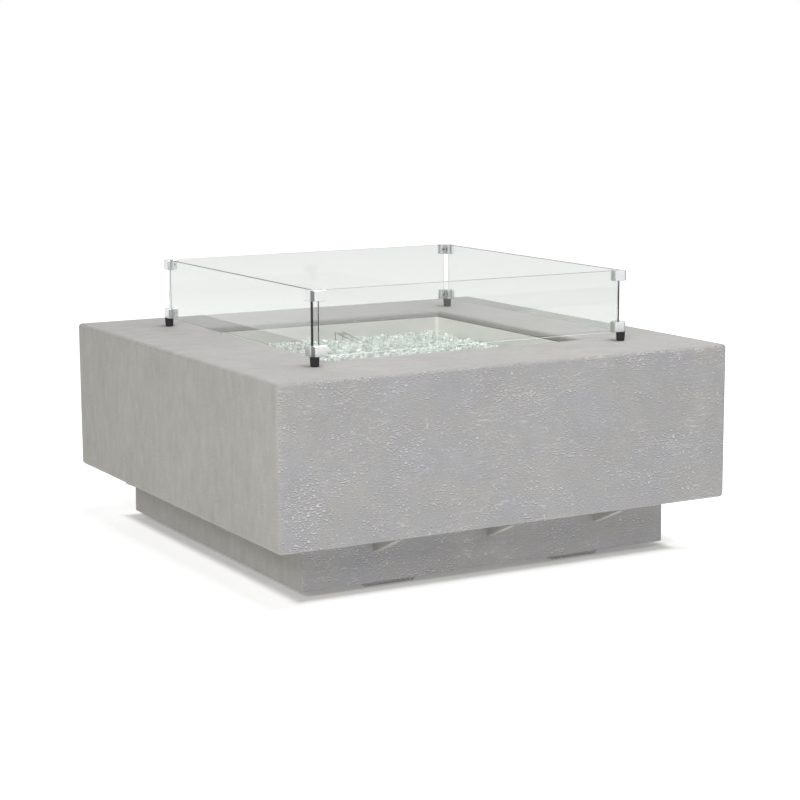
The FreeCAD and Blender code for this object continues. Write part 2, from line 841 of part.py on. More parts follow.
def electrode_insulator():
    """White ceramic body with a collar that rests on the pilot shelf."""
    seat = pilot_seat(-1)
    collar = rod(electrode_collar_radius, seat, seat + Z_AXIS * electrode_collar_height)
    body = rod(electrode_radius, seat - Z_AXIS * electrode_below_shelf, seat + Z_AXIS * electrode_above_shelf)
    return body.fuse(collar)


def electrode_rod():
    """Spark rod that stands out of the top of the ceramic."""
    bottom = pilot_seat(-1) + Z_AXIS * electrode_above_shelf
    return rod(electrode_rod_radius, bottom, bottom + Z_AXIS * electrode_rod_rise)


def thermocouple():
    """Heat sensor held in the shelf by its nut."""
    seat = pilot_seat(1)
    bottom = seat - Z_AXIS * thermocouple_below_shelf
    top = seat + Z_AXIS * thermocouple_above_shelf
    nut = hexagon_bar(thermocouple_nut_flats, seat, seat + Z_AXIS * thermocouple_nut_height)
    return rod(thermocouple_radius, bottom, top).fuse(nut)


def guard_rail(side):
    """Rear and front end of one rail of the wire guard."""
    x = pilot_x + side * guard_wire_width / 2
    rear = V(x, guard_rear_y, block_top - guard_rear_drop)
    front = V(x, guard_rear_y - guard_length, block_top - guard_front_drop)
    return rear, front


def igniter_guard():
    """Wire cage that keeps the glass off the pilot: two sloping rails on legs, and cross wires."""
    solids = []
    for side in (-1, 1):
        rear, front = guard_rail(side)
        legs = [rod(guard_wire_radius, V(end.x, end.y, pan_floor), end) for end in (rear, front)]
        knees = [Part.makeSphere(guard_wire_radius, end) for end in (rear, front)]
        solids += legs + knees + [rod(guard_wire_radius, rear, front)]
    left_rear, left_front = guard_rail(-1)
    run = left_front - left_rear
    across = X_AXIS * guard_wire_width
    for number in range(guard_cross_count):
        start = left_rear + run.normalize() * guard_cross_pitch * (number + 1)
        solids.append(rod(guard_cross_radius, start, start + across))
    return solids[0].fuse(solids[1:])


# Controls

def control_tray():
    """Pressed steel recess with a flange let into the rear face of the block."""
    centre = V(0, 0, control_height)
    half = V(tray_width / 2, 0, tray_height / 2)
    sheet = V(tray_sheet, 0, tray_sheet)
    mouth = Y_AXIS * (block_half - small_head_height)
    flange_rear = Y_AXIS * (block_half - tray_rebate)
    rim = V(tray_width / 2 + tray_flange, 0, tray_height / 2 + tray_flange)
    shell = box(centre - half - sheet + Y_AXIS * tray_rear, centre + half + sheet + mouth,
                tray_corner_radius, Y_AXIS)
    shell = shell.fuse(box(centre - rim + flange_rear, centre + rim + mouth, tray_corner_radius, Y_AXIS))
    inner_corner = tray_corner_radius - tray_sheet
    shell = shell.cut(box(centre - half + Y_AXIS * tray_back, centre + half + mouth, inner_corner, Y_AXIS))
    holes = ((0, valve_neck_radius), (button_x, igniter_neck_radius), (union_x, union_thread_radius))
    for x, radius in holes:
        start = V(x, tray_rear, control_height)
        shell = shell.cut(rod(radius + hole_clearance, start, start + Y_AXIS * tray_sheet))
    for point in tray_screw_points():
        shell = shell.cut(rod(small_screw_radius + hole_clearance, point, point + Y_AXIS * tray_sheet))
    return shell


def tray_screws():
    """Two round-head screws through the flange, their heads flush with the block."""
    solids = []
    for point in tray_screw_points():
        seat = point + Y_AXIS * tray_sheet
        head = rod(small_head_radius, seat, seat + Y_AXIS * small_head_height)
        solids.append(head.fuse(rod(small_screw_radius, point - Y_AXIS * small_screw_grip, seat)))
    return group(solids)


def knob_bezel():
    """Steel ring behind the knob."""
    back = V(0, tray_back, control_height)
    return tube(bezel_radius, valve_neck_radius + hole_clearance, back, back + Y_AXIS * bezel_thickness)


def valve_nut():
    """Hex nut on the neck of the valve, in front of the bezel."""
    back = V(0, tray_back + bezel_thickness, control_height)
    front = back + Y_AXIS * valve_nut_height
    return hexagon_bar(valve_nut_flats, back, front).cut(rod(valve_neck_radius + thread_clearance, back, front))


def on_valve(y):
    """Point on the axis of the valve at a distance along Y."""
    return V(0, y, control_height)


def valve_body():
    """Cast valve body with its neck, inlet and outlet ports and magnet can."""
    half = V(valve_width / 2, 0, valve_body_height / 2)
    solid = box(on_valve(valve_rear) - half, on_valve(valve_front) + half, valve_edge_radius, Y_AXIS)
    middle = on_valve(valve_port_y)
    can_end = middle - Z_AXIS * (valve_body_height / 2 + valve_magnet_length)
    neck = rod(valve_neck_radius, on_valve(valve_front), on_valve(tray_rear))
    threaded = rod(valve_neck_radius, on_valve(tray_rear), on_valve(neck_end))
    solid = solid.fuse([neck.fuse(threaded).removeSplitter(), rod(valve_magnet_radius, middle, can_end),
                        rod(valve_port_radius, middle, valve_inlet()),
                        rod(valve_port_radius, middle, valve_outlet())])
    solid = solid.cut(rod(valve_neck_bore, on_valve(valve_front), on_valve(neck_end - valve_neck_wall)))
    stem_room = valve_front - stem_tail - knob_travel - play
    return solid.cut(rod(stem_radius + stem_fit, on_valve(stem_room), on_valve(neck_end)))


def valve_inlet():
    """Outer face of the inlet port, towards -X."""
    return on_valve(valve_port_y) - X_AXIS * (valve_width / 2 + valve_port_length)


def valve_outlet():
    """Outer face of the outlet port, towards the burner."""
    return on_valve(valve_rear - valve_port_length)


def valve_stem():
    """Round spindle with a shoulder for the spring washer and a flat for the knob."""
    end = knob_back + knob_bore_depth - play
    shoulder = rod(stem_shoulder_radius, on_valve(washer_front), on_valve(shoulder_front))
    solid = rod(stem_radius, on_valve(valve_front - stem_tail), on_valve(end)).fuse(shoulder)
    low = on_valve(knob_back) + V(-stem_radius, 0, stem_radius - stem_flat_depth)
    return solid.cut(box(low, on_valve(end) + V(stem_radius, 0, stem_radius)))


def stem_washer():
    """Spring seat that slides in the valve neck with the stem."""
    return tube(valve_neck_bore - play, stem_radius + thread_clearance, on_valve(washer_rear),
                on_valve(washer_front))


def stem_spring():
    """Spring that pushes the stem and knob back out."""
    length = washer_rear - valve_front - play
    return coil(stem_spring_radius, stem_spring_wire, stem_spring_turns,
                on_valve(valve_front + play / 2), Y_AXIS, length)


def control_knob():
    """Skirted round knob with a raised grip bar, a pointer groove and a D-shaped bore."""
    base = on_valve(knob_back)
    face = knob_length - knob_grip_height
    profile = [(0, 0), (knob_skirt_radius, 0), (knob_skirt_radius - knob_taper, knob_skirt_length),
               (knob_radius, knob_skirt_length), (knob_radius - knob_taper, face), (0, face)]
    half = knob_grip_width / 2
    reach = knob_grip_length / 2
    grip = box(base + V(-half, face, -reach), base + V(half, knob_length, reach), knob_grip_corner, Y_AXIS)
    groove = box(base + V(-knob_pointer_width / 2, knob_length - knob_pointer_depth, 0),
                 base + V(knob_pointer_width / 2, knob_length, reach))
    solid = turned(profile, base, Y_AXIS).fuse(grip).cut(groove)
    bore = rod(stem_radius + thread_clearance, base, base + Y_AXIS * knob_bore_depth)
    flat_level = stem_radius - stem_flat_depth + thread_clearance
    flat = box(base + V(-stem_radius * 2, 0, flat_level),
               base + V(stem_radius * 2, knob_bore_depth, stem_radius * 2))
    return solid.cut(bore.cut(flat))


# Battery igniter

def on_igniter(y):
    """Point on the igniter's axis at a distance along Y."""
    return V(button_x, y, control_height)


def igniter_housing():
    """Moulded case behind the recess, with a threaded neck through it."""
    neck_front = tray_back + igniter_neck_length
    solid = rod(igniter_radius, on_igniter(battery_rear - igniter_end_wall), on_igniter(tray_rear))
    solid = solid.fuse(rod(igniter_neck_radius, on_igniter(tray_rear), on_igniter(neck_front)))
    solid = solid.cut(rod(battery_radius + battery_gap, on_igniter(battery_rear), on_igniter(battery_front)))
    solid = solid.cut(rod(button_collar_radius + play, on_igniter(battery_front), on_igniter(collar_front)))
    return solid.cut(rod(button_radius + button_fit, on_igniter(collar_front), on_igniter(neck_front)))


def igniter_ring_nut():
    """Round nut that clamps the igniter in the recess."""
    return tube(ring_nut_radius, igniter_neck_radius + thread_clearance, on_igniter(tray_back),
                on_igniter(tray_back + ring_nut_thickness))


def igniter_battery():
    """Battery in the igniter housing."""
    shoulder = battery_front - battery_tip_length
    body = rod(battery_radius, on_igniter(battery_rear), on_igniter(shoulder))
    return body.fuse(rod(battery_tip_radius, on_igniter(shoulder), on_igniter(battery_front)))


def igniter_spring():
    """Contact spring between the battery and the button."""
    start = battery_front - battery_tip_length + play / 2
    length = collar_front - button_collar_length - play / 2 - start
    return coil(button_spring_radius, button_spring_wire, button_spring_turns, on_igniter(start), Y_AXIS, length)


def igniter_button():
    """Domed push button with a collar that stops it in the housing."""
    rear = collar_front - button_collar_length
    length = tray_back + igniter_neck_length + button_stand - rear
    profile = [(0, 0), (button_collar_radius, 0), (button_collar_radius, button_collar_length),
               (button_radius, button_collar_length), (button_radius, length - button_dome),
               (button_radius - button_dome, length), (0, length)]
    return turned(profile, on_igniter(rear), Y_AXIS)


# Gas line

def gas_tube(points):
    """Bent metal tube along straight runs."""
    outside = bent_rod(points, tube_bend_radius, tube_radius)
    return outside.cut(bent_rod(points, tube_bend_radius, tube_radius - tube_wall))


def burner_tube_points():
    """Route of the tube from the valve's outlet to the orifice."""
    lead = valve_outlet() - Y_AXIS * burner_tube_lead
    elbow = V(0, 0, orifice_bottom - burner_tube_drop)
    return [valve_outlet(), lead, elbow, V(0, 0, orifice_bottom)]


def inlet_tube_points():
    """Route of the tube from the valve's inlet to the union."""
    inlet = valve_inlet()
    return [inlet, V(union_x, inlet.y, inlet.z), V(union_x, union_inner_end, inlet.z)]


def tube_nuts():
    """Hex nuts on the four tube ends."""
    solids = []
    for points in (burner_tube_points(), inlet_tube_points()):
        for end, beside in ((points[0], points[1]), (points[-1], points[-2])):
            away = (beside - end).normalize() * tube_nut_length
            nut = hexagon_bar(tube_nut_flats, end, end + away)
            solids.append(nut.cut(rod(tube_radius + thread_clearance, end, end + away)))
    return group(solids)


def on_union(y):
    """Point on the axis of the gas inlet union at a distance along Y."""
    return V(union_x, y, control_height)


def gas_inlet_union():
    """Flared union through the back of the recess, where the supply hose screws on."""
    hex_front = tray_back + union_hex_height
    thread_front = hex_front + union_thread_length
    tip = thread_front + union_cone_length
    flare = Part.makeCone(union_thread_radius, union_thread_radius - union_cone_draw,
                          union_cone_length, on_union(thread_front), Y_AXIS)
    solid = rod(union_thread_radius, on_union(union_inner_end), on_union(thread_front))
    solid = solid.fuse([hexagon_bar(union_flats, on_union(tray_back), on_union(hex_front)), flare])
    return solid.cut(rod(union_bore_radius, on_union(union_inner_end), on_union(tip)))


def union_lock_nut():
    """Nut on the union, behind the recess."""
    front = on_union(tray_rear)
    back = on_union(tray_rear - union_nut_height)
    return hexagon_bar(union_flats, back, front).cut(rod(union_thread_radius + thread_clearance, back, front))


# Wind guard

def guard_pane():
    """Front pane, with all its edges ground."""
    thick = glass_thickness / 2
    pane = box(V(-pane_half_length, -guard_half - thick, pane_bottom),
               V(pane_half_length, -guard_half + thick, pane_top))
    return pane.makeChamfer(glass_edge, pane.Edges)


def clip_shape(bottom):
    """Corner clip of the front left corner: a round post and two slotted legs."""
    centre = V(-guard_half, -guard_half, bottom)
    half = clip_half_width
    leg_x = box(centre + V(0, -half, 0), centre + V(clip_leg, half, clip_height))
    leg_y = box(centre + V(-half, 0, 0), centre + V(half, clip_leg, clip_height))
    solid = rod(half, centre, centre + Z_AXIS * clip_height).fuse([leg_x, leg_y]).removeSplitter()
    flat = [edge for edge in solid.Edges if edge.BoundBox.ZLength < clip_height / 2]
    solid = solid.makeChamfer(clip_edge, flat)
    for slot in clip_slots(centre, gasket_thickness, 0.0):
        solid = solid.cut(slot)
    return solid


def clip_slots(centre, wall, extra):
    """The room for the two panes in a clip, with a wall of gasket round each pane."""
    start = pane_end_inset - wall
    end = clip_leg + extra
    thick = glass_thickness / 2 + wall
    along_x = box(centre + V(start, -thick, 0), centre + V(end, thick, clip_height))
    along_y = box(centre + V(-thick, start, 0), centre + V(thick, end, clip_height))
    return along_x, along_y


def lower_clips():
    """Clips that stand on the feet, each with a hole for the peg of its foot."""
    base = V(-guard_half, -guard_half, pane_bottom)
    hole = rod(foot_peg_radius + play, base, base + Z_AXIS * (foot_peg_length + play))
    return group(four_sides(clip_shape(pane_bottom).cut(hole)))


def upper_clips():
    """Clips at the top corners of the panes."""
    return group(four_sides(clip_shape(pane_top - clip_height)))


def clip_gaskets():
    """Rubber channels round the pane ends, one in each clip leg."""
    solids = []
    for bottom in (pane_bottom, pane_top - clip_height):
        centre = V(-guard_half, -guard_half, bottom)
        outer = clip_slots(centre, gasket_thickness, gasket_stand)
        inner = clip_slots(centre, 0.0, gasket_stand)
        for around, pane in zip(outer, inner):
            solids += four_sides(around.cut(pane))
    return group(solids)


def guard_feet():
    """Tapered rubber feet, each with a moulded peg that plugs into the lower clip."""
    base = V(-guard_half, -guard_half, block_top)
    profile = [(0, 0), (foot_bottom_radius - foot_edge, 0), (foot_bottom_radius, foot_edge),
               (foot_top_radius, foot_height), (foot_peg_radius, foot_height),
               (foot_peg_radius, foot_height + foot_peg_length), (0, foot_height + foot_peg_length)]
    return group(four_sides(turned(profile, base, Z_AXIS)))


def all_nodes():
    """Every node of the table by name."""
    nodes = {
        "table_block": table_block(),
        "plinth": plinth(),
        "joint_brackets": joint_brackets(),
        "bracket_bolts": bracket_bolts(),
        "burner_pan": burner_pan(),
        "pan_clips": pan_clips(),
        "pan_clip_screws": pan_clip_screws(),
        "burner_ring": burner_ring(),
        "burner_lock_nut": burner_lock_nut(),
        "air_mixer": air_mixer(),
        "gas_orifice": gas_orifice(),
        "fire_glass": fire_glass(),
        "pilot_bracket": pilot_bracket(),
        "electrode_insulator": electrode_insulator(),
        "electrode_rod": electrode_rod(),
        "thermocouple": thermocouple(),
        "igniter_guard": igniter_guard(),
        "control_tray": control_tray(),
        "tray_screws": tray_screws(),
        "knob_bezel": knob_bezel(),
        "valve_nut": valve_nut(),
        "valve_body": valve_body(),
        "valve_stem": valve_stem(),
        "stem_washer": stem_washer(),
        "stem_spring": stem_spring(),
        "control_knob": control_knob(),
        "igniter_housing": igniter_housing(),
        "igniter_ring_nut": igniter_ring_nut(),
        "igniter_battery": igniter_battery(),
        "igniter_spring": igniter_spring(),
        "igniter_button": igniter_button(),
        "burner_tube": gas_tube(burner_tube_points()),
        "inlet_tube": gas_tube(inlet_tube_points()),
        "tube_nuts": tube_nuts(),
        "gas_inlet_union": gas_inlet_union(),
        "union_lock_nut": union_lock_nut(),
        "lower_clips": lower_clips(),
        "upper_clips": upper_clips(),
        "clip_gaskets": clip_gaskets(),
        "guard_feet": guard_feet(),
    }
    sides = ("front", "right", "rear", "left")
    nodes.update({"glass_" + side: pane for side, pane in zip(sides, four_sides(guard_pane()))})
    return nodes


def main():
    os.makedirs("parts", exist_ok=True)
    for name, shape in all_nodes().items():
        shape.exportStep(os.path.join("parts", name + ".step"))


main()
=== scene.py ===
import math

import bpy
import numpy as np
from mathutils import Matrix, Vector


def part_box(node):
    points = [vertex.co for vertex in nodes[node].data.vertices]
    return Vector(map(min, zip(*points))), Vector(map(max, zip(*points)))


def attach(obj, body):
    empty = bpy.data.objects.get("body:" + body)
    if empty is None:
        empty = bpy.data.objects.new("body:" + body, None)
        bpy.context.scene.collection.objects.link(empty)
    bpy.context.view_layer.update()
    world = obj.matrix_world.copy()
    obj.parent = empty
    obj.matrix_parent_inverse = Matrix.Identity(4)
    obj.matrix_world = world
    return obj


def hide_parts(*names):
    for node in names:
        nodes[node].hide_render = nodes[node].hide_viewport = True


bl_info = {
    "name": "Fire pit table",
    "version": (1, 0, 0),
    "blender": (4, 5, 0),
    "location": "View3D > Sidebar > Fire pit",
    "description": "Finishes and loose pieces of a square concrete fire pit table with a glass wind guard",
    "category": "Object",
}

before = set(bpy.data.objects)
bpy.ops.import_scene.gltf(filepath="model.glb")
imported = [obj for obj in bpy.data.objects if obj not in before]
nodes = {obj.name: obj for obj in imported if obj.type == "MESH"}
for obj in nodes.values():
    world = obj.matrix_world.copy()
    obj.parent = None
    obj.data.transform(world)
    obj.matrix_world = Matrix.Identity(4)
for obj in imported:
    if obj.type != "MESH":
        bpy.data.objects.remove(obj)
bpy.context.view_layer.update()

MM = 0.001

# Settings of nodes that are used again and again
SMOOTH = {"interpolation_type": "SMOOTHSTEP"}
TIMES = {"operation": "MULTIPLY"}
LESS = {"operation": "SUBTRACT"}
SIZE_OF = {"operation": "ABSOLUTE"}
LARGER = {"operation": "MAXIMUM"}
TIMES_PLUS = {"operation": "MULTIPLY_ADD"}
COLOURS = {"data_type": "RGBA"}


# Small helpers

def linear(hex_colour):
    """Linear RGBA, opaque, of an sRGB colour written as #RRGGBB."""
    channels = [int(hex_colour[start:start + 2], 16) / 255 for start in (1, 3, 5)]
    return tuple(c / 12.92 if c <= 0.04045 else ((c + 0.055) / 1.055) ** 2.4 for c in channels) + (1.0,)


def add_node(tree, kind, settings=None, inputs=None):
    """Adds a node. Settings are its properties; inputs go by input name or number, and each is a value,
    a socket, or a node whose first output is meant."""
    node = tree.nodes.new(kind)
    for name, value in (settings or {}).items():
        setattr(node, name, value)
    for name, value in (inputs or {}).items():
        if isinstance(value, bpy.types.Node):
            value = value.outputs[0]
        if isinstance(value, bpy.types.NodeSocket):
            tree.links.new(value, node.inputs[name])
        else:
            node.inputs[name].default_value = value
    return node


def new_material(name):
    """An empty node material with its output: returns the material, its tree and its output node."""
    material = bpy.data.materials.new(name)
    material.use_nodes = True
    material.node_tree.nodes.clear()
    return material, material.node_tree, add_node(material.node_tree, "ShaderNodeOutputMaterial")


def dress(names, material):
    """Gives CAD nodes a material."""
    for name in names:
        mesh = nodes[name].data
        mesh.materials.clear()
        mesh.materials.append(material)


def new_piece(name, points, faces, material, body):
    """Puts points, in metres in the frame, and a list of faces into a new flat-shaded piece that rides
    on a body."""
    mesh = bpy.data.meshes.new(name)
    mesh.from_pydata(points.tolist(), [], faces)
    mesh.update()
    mesh.materials.append(material)
    piece = bpy.data.objects.new(name, mesh)
    bpy.context.scene.collection.objects.link(piece)
    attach(piece, body)
    return piece


def grid_faces(rows, columns, closed):
    """Quads between neighbouring points of a rows by columns grid, joined round where closed."""
    steps = columns if closed else columns - 1
    row, column = np.meshgrid(np.arange(rows - 1), np.arange(steps), indexing="ij")
    here = row * columns + column
    right = row * columns + (column + 1) % columns
    return np.stack([here, right, right + columns, here + columns], axis=-1).reshape(-1, 4)


def seen_ray(tree, through):
    """Share of the white that a ray sees: 1 straight from the camera or mirrored, the share given
    through glass, and 0 for the light that falls on things."""
    path = add_node(tree, "ShaderNodeLightPath")
    seen = add_node(tree, "ShaderNodeMath", LARGER, {
        0: path.outputs["Is Camera Ray"], 1: path.outputs["Is Glossy Ray"]})
    seen = add_node(tree, "ShaderNodeMath", LARGER, {0: seen, 1: path.outputs["Is Transmission Ray"]})
    dimmed = add_node(tree, "ShaderNodeMapRange", inputs={
        "Value": path.outputs["Is Transmission Ray"], "To Min": 1.0, "To Max": through})
    return add_node(tree, "ShaderNodeMath", TIMES, {0: seen, 1: dimmed})


# Sizes and colours that a user would change

class ConcreteLook(bpy.types.PropertyGroup):
    colour: bpy.props.FloatVectorProperty(
        name="Concrete colour", description="Colour of the cured, sealed surface",
        default=linear("#A7A6A6")[:3], size=3, min=0, max=1, subtype="COLOR")
    cool_colour: bpy.props.FloatVectorProperty(
        name="Cool patches", description="Colour of the cool patches left by the release film",
        default=linear("#A5A4AA")[:3], size=3, min=0, max=1, subtype="COLOR")
    warm_colour: bpy.props.FloatVectorProperty(
        name="Warm patches", description="Colour of the trowelled sides and of the warm patches",
        default=linear("#ACAAA5")[:3], size=3, min=0, max=1, subtype="COLOR")
    fleck_colour: bpy.props.FloatVectorProperty(
        name="Flecks", description="Colour of the pale lime flecks on the moulded faces",
        default=linear("#D2D1D4")[:3], size=3, min=0, max=1, subtype="COLOR")
    # Colour of the painted shadow that stands just under each fleck
    fleck_shadow_colour: bpy.props.FloatVectorProperty(
        name="Fleck shadows", description="Colour of the small dark voids under the flecks",
        default=linear("#706E6D")[:3], size=3, min=0, max=1, subtype="COLOR")
    fleck_length: bpy.props.FloatProperty(
        name="Fleck length", description="Usual length of a fleck on the moulded faces",
        default=0.0058, min=0.001, max=0.05, unit="LENGTH")
    fleck_height: bpy.props.FloatProperty(
        name="Fleck height", description="Usual height of a fleck on the moulded faces",
        default=0.0026, min=0.0005, max=0.02, unit="LENGTH")


class FireGlassLook(bpy.types.PropertyGroup):
    across: bpy.props.IntProperty(
        name="Pieces across", description="Pieces of glass along each side of the pan in one layer",
        default=70, min=10, max=110)
    smallest: bpy.props.FloatProperty(
        name="Smallest piece", description="Half the width of the smallest piece of glass",
        default=0.0028, min=0.001, max=0.02, unit="LENGTH")
    largest: bpy.props.FloatProperty(
        name="Largest piece", description="Half the width of the largest piece of glass",
        default=0.0068, min=0.001, max=0.02, unit="LENGTH")
    colour: bpy.props.FloatVectorProperty(
        name="Glass colour", description="Tint of the clearest pieces of glass",
        default=linear("#F0F2EF")[:3], size=3, min=0, max=1, subtype="COLOR")
    dark_colour: bpy.props.FloatVectorProperty(
        name="Dark glass colour", description="Tint of the darkest pieces of glass",
        default=linear("#C1C9C3")[:3], size=3, min=0, max=1, subtype="COLOR")
    seed: bpy.props.IntProperty(
        name="Seed", description="Number that the arrangement of the pieces is drawn from",
        default=11, min=0)


class PaneLook(bpy.types.PropertyGroup):
    tint: bpy.props.FloatVectorProperty(
        name="Glass tint", description="Light that passes straight through a pane",
        default=linear("#F8F9F8")[:3], size=3, min=0, max=1, subtype="COLOR")
    depth_colour: bpy.props.FloatVectorProperty(
        name="Depth colour", description="Green that the glass takes on along its length",
        default=(0.76, 0.91, 0.84), size=3, min=0, max=1, subtype="COLOR")
    edge_tint: bpy.props.FloatVectorProperty(
        name="Edge tint", description="Light that passes through the ground edges of a pane",
        default=linear("#C9CFCC")[:3], size=3, min=0, max=1, subtype="COLOR")
    edge_roughness: bpy.props.FloatProperty(
        name="Ground edges", description="Roughness of the ground edges of the panes",
        default=0.45, min=0, max=1, subtype="FACTOR")


class StageLook(bpy.types.PropertyGroup):
    floor_size: bpy.props.FloatProperty(
        name="Floor size", description="Side of the square floor",
        default=60.0, min=2, max=200, unit="LENGTH")
    floor_glow: bpy.props.FloatProperty(
        name="Floor glow", description="Light that the floor adds where it is seen, so that it shows white",
        default=0.58, min=0, max=1)
    # The faint square under the plinth is a painted shadow on the floor
    plinth_half: bpy.props.FloatProperty(
        name="Plinth half width", description="Half the side of the faint square under the plinth",
        default=0.37675, min=0.1, max=2, unit="LENGTH")
    behind_glass: bpy.props.FloatProperty(
        name="White behind glass", description="Share of the white that shows through clear glass",
        default=0.69, min=0, max=1, subtype="FACTOR")
    sky_level: bpy.props.FloatProperty(
        name="Soft light", description="Brightness of the even light from all round",
        default=0.13, min=0, max=4)
    rear_level: bpy.props.FloatProperty(
        name="Soft light behind", description="Brightness of the even light from low behind the table",
        default=0.9, min=0, max=4)
    overhead_power: bpy.props.FloatProperty(
        name="Overhead lamp", description="Power of the large soft lamp overhead",
        default=86.0, min=0, max=1000, unit="POWER")
    front_power: bpy.props.FloatProperty(
        name="Front lamp", description="Power of the soft lamp low in front",
        default=98.5, min=0, max=1000, unit="POWER")


# Materials

# Dense specks near the left end of the block: the middle of their band, the distances from it and the
# heights between which they thin out
SPECK_BAND = -408 * MM
SPECK_WIDTH = (12 * MM, 32 * MM)
SPECK_TOP = (210 * MM, 290 * MM)
RELIEF_DEPTH = 0.6 * MM


def cast_concrete(look):
    """Glass-fibre concrete cast in a mould and sealed.

    Matt grey with a fine sandy grain. The front and rear keep small level flecks of lime, each with a
    painted shadow just under it in a shallow dent, and thin wrinkles of the release film; the other two
    sides keep faint marks of the trowel, and the top is cloudy. Patterns are masked by the direction that a
    face looks in."""
    material, tree, output = new_material("cast_concrete")
    place = add_node(tree, "ShaderNodeTexCoord")
    facing = add_node(tree, "ShaderNodeVectorMath", SIZE_OF, {0: place.outputs["Normal"]})
    side = add_node(tree, "ShaderNodeSeparateXYZ", inputs={0: facing})
    moulded, trowelled, level = [add_node(tree, "ShaderNodeMapRange", SMOOTH, {
        "Value": side.outputs[axis], "From Min": 0.55, "From Max": 0.85}) for axis in "YXZ"]

    # Each pattern: repeats per metre along X, Y and Z, detail, roughness, shift of the pattern
    fleck = (1 / look.fleck_length, 1 / look.fleck_length, 1 / look.fleck_height)
    patterns = {
        "drift": ((5.5, 5.5, 5.5), 3, 0.55, (0, 0, 0)),
        "film": ((10, 10, 16), 4, 0.65, (3, 0, 0)),
        "blotches": ((32, 32, 32), 3, 0.6, (0, 0, 0)),
        "grain": ((380, 380, 380), 2, 0.6, (0, 0, 0)),
        "flecks": (fleck, 2, 0.6, (0, 0, 0)),
        "fleck_shadows": (fleck, 2, 0.6, (0, 0, 0.5)),
        "clusters": ((11, 11, 17), 5, 0.75, (7, 0, 0)),
        "wrinkles": ((15, 15, 95), 2, 0.55, (0, 0, 0)),
        "patches": ((9, 9, 14), 2, 0.5, (0, 5, 0)),
        "trowel": ((26, 60, 22), 4, 0.6, (0, 0, 0)),
    }
    value = {}
    for name, (repeats, detail, roughness, shift) in patterns.items():
        mapped = add_node(tree, "ShaderNodeMapping", {"vector_type": "POINT"}, {
            "Vector": place.outputs["Object"], "Scale": repeats, "Location": shift})
        value[name] = add_node(tree, "ShaderNodeTexNoise", inputs={
            "Vector": mapped, "Scale": 1.0, "Detail": detail, "Roughness": roughness})

    # The band of dense specks near the left end, in the lower half of the block
    spot = add_node(tree, "ShaderNodeSeparateXYZ", inputs={0: place.outputs["Object"]})
    across = add_node(tree, "ShaderNodeMath", LESS, {0: spot.outputs["X"], 1: SPECK_BAND})
    across = add_node(tree, "ShaderNodeMath", SIZE_OF, {0: across})
    band = add_node(tree, "ShaderNodeMapRange", SMOOTH, {
        "Value": across, "From Min": SPECK_WIDTH[0], "From Max": SPECK_WIDTH[1],
        "To Min": 0.16, "To Max": 0.0})
    low = add_node(tree, "ShaderNodeMapRange", SMOOTH, {
        "Value": spot.outputs["Z"], "From Min": SPECK_TOP[0], "From Max": SPECK_TOP[1],
        "To Min": 1.0, "To Max": 0.0})
    crowd = add_node(tree, "ShaderNodeMath", TIMES_PLUS, {0: band, 1: low, 2: value["clusters"]})

    # Flecks stand where their noise is over a threshold, which is lower inside a cluster; the painted
    # shadows under them are the same noise shifted down by half a fleck
    threshold = add_node(tree, "ShaderNodeMapRange", SMOOTH, {
        "Value": crowd, "From Min": 0.36, "From Max": 0.66, "To Min": 0.66, "To Max": 0.548})
    mask = {}
    for name in ("flecks", "fleck_shadows"):
        over = add_node(tree, "ShaderNodeMath", LESS, {0: value[name], 1: threshold})
        over = add_node(tree, "ShaderNodeMapRange", SMOOTH, {"Value": over, "From Max": 0.04})
        mask[name] = add_node(tree, "ShaderNodeMath", TIMES, {0: over, 1: moulded})
    mask["fleck_shadows"] = add_node(tree, "ShaderNodeMath", {"operation": "SUBTRACT", "use_clamp": True}, {
        0: mask["fleck_shadows"], 1: mask["flecks"]})

    # Wrinkles follow the line where a stretched noise crosses its middle, in patches
    middle = add_node(tree, "ShaderNodeMath", LESS, {0: value["wrinkles"], 1: 0.5})
    middle = add_node(tree, "ShaderNodeMath", SIZE_OF, {0: middle})
    thin = add_node(tree, "ShaderNodeMapRange", SMOOTH, {
        "Value": middle, "From Max": 0.014, "To Min": 1.0, "To Max": 0.0})
    patch = add_node(tree, "ShaderNodeMapRange", SMOOTH, {
        "Value": value["patches"], "From Min": 0.44, "From Max": 0.56})
    line = add_node(tree, "ShaderNodeMath", TIMES, {0: thin, 1: patch})
    line = add_node(tree, "ShaderNodeMath", TIMES, {0: line, 1: moulded})

    # Colour: warmer sides, a slightly warm top, and cool and warm film patches on the moulded faces
    warm = add_node(tree, "ShaderNodeMath", TIMES_PLUS, {0: level, 1: 0.45, 2: trowelled})
    colour = add_node(tree, "ShaderNodeMix", COLOURS, {
        0: warm, 6: (*look.colour, 1), 7: (*look.warm_colour, 1)}).outputs[2]
    for starts, ends, paint in ((0.50, 0.62, look.cool_colour), (0.46, 0.36, look.warm_colour)):
        film = add_node(tree, "ShaderNodeMapRange", SMOOTH, {
            "Value": value["film"], "From Min": starts, "From Max": ends, "To Max": 0.5})
        film = add_node(tree, "ShaderNodeMath", TIMES, {0: film, 1: moulded})
        colour = add_node(tree, "ShaderNodeMix", COLOURS, {0: film, 6: colour, 7: (*paint, 1)}).outputs[2]

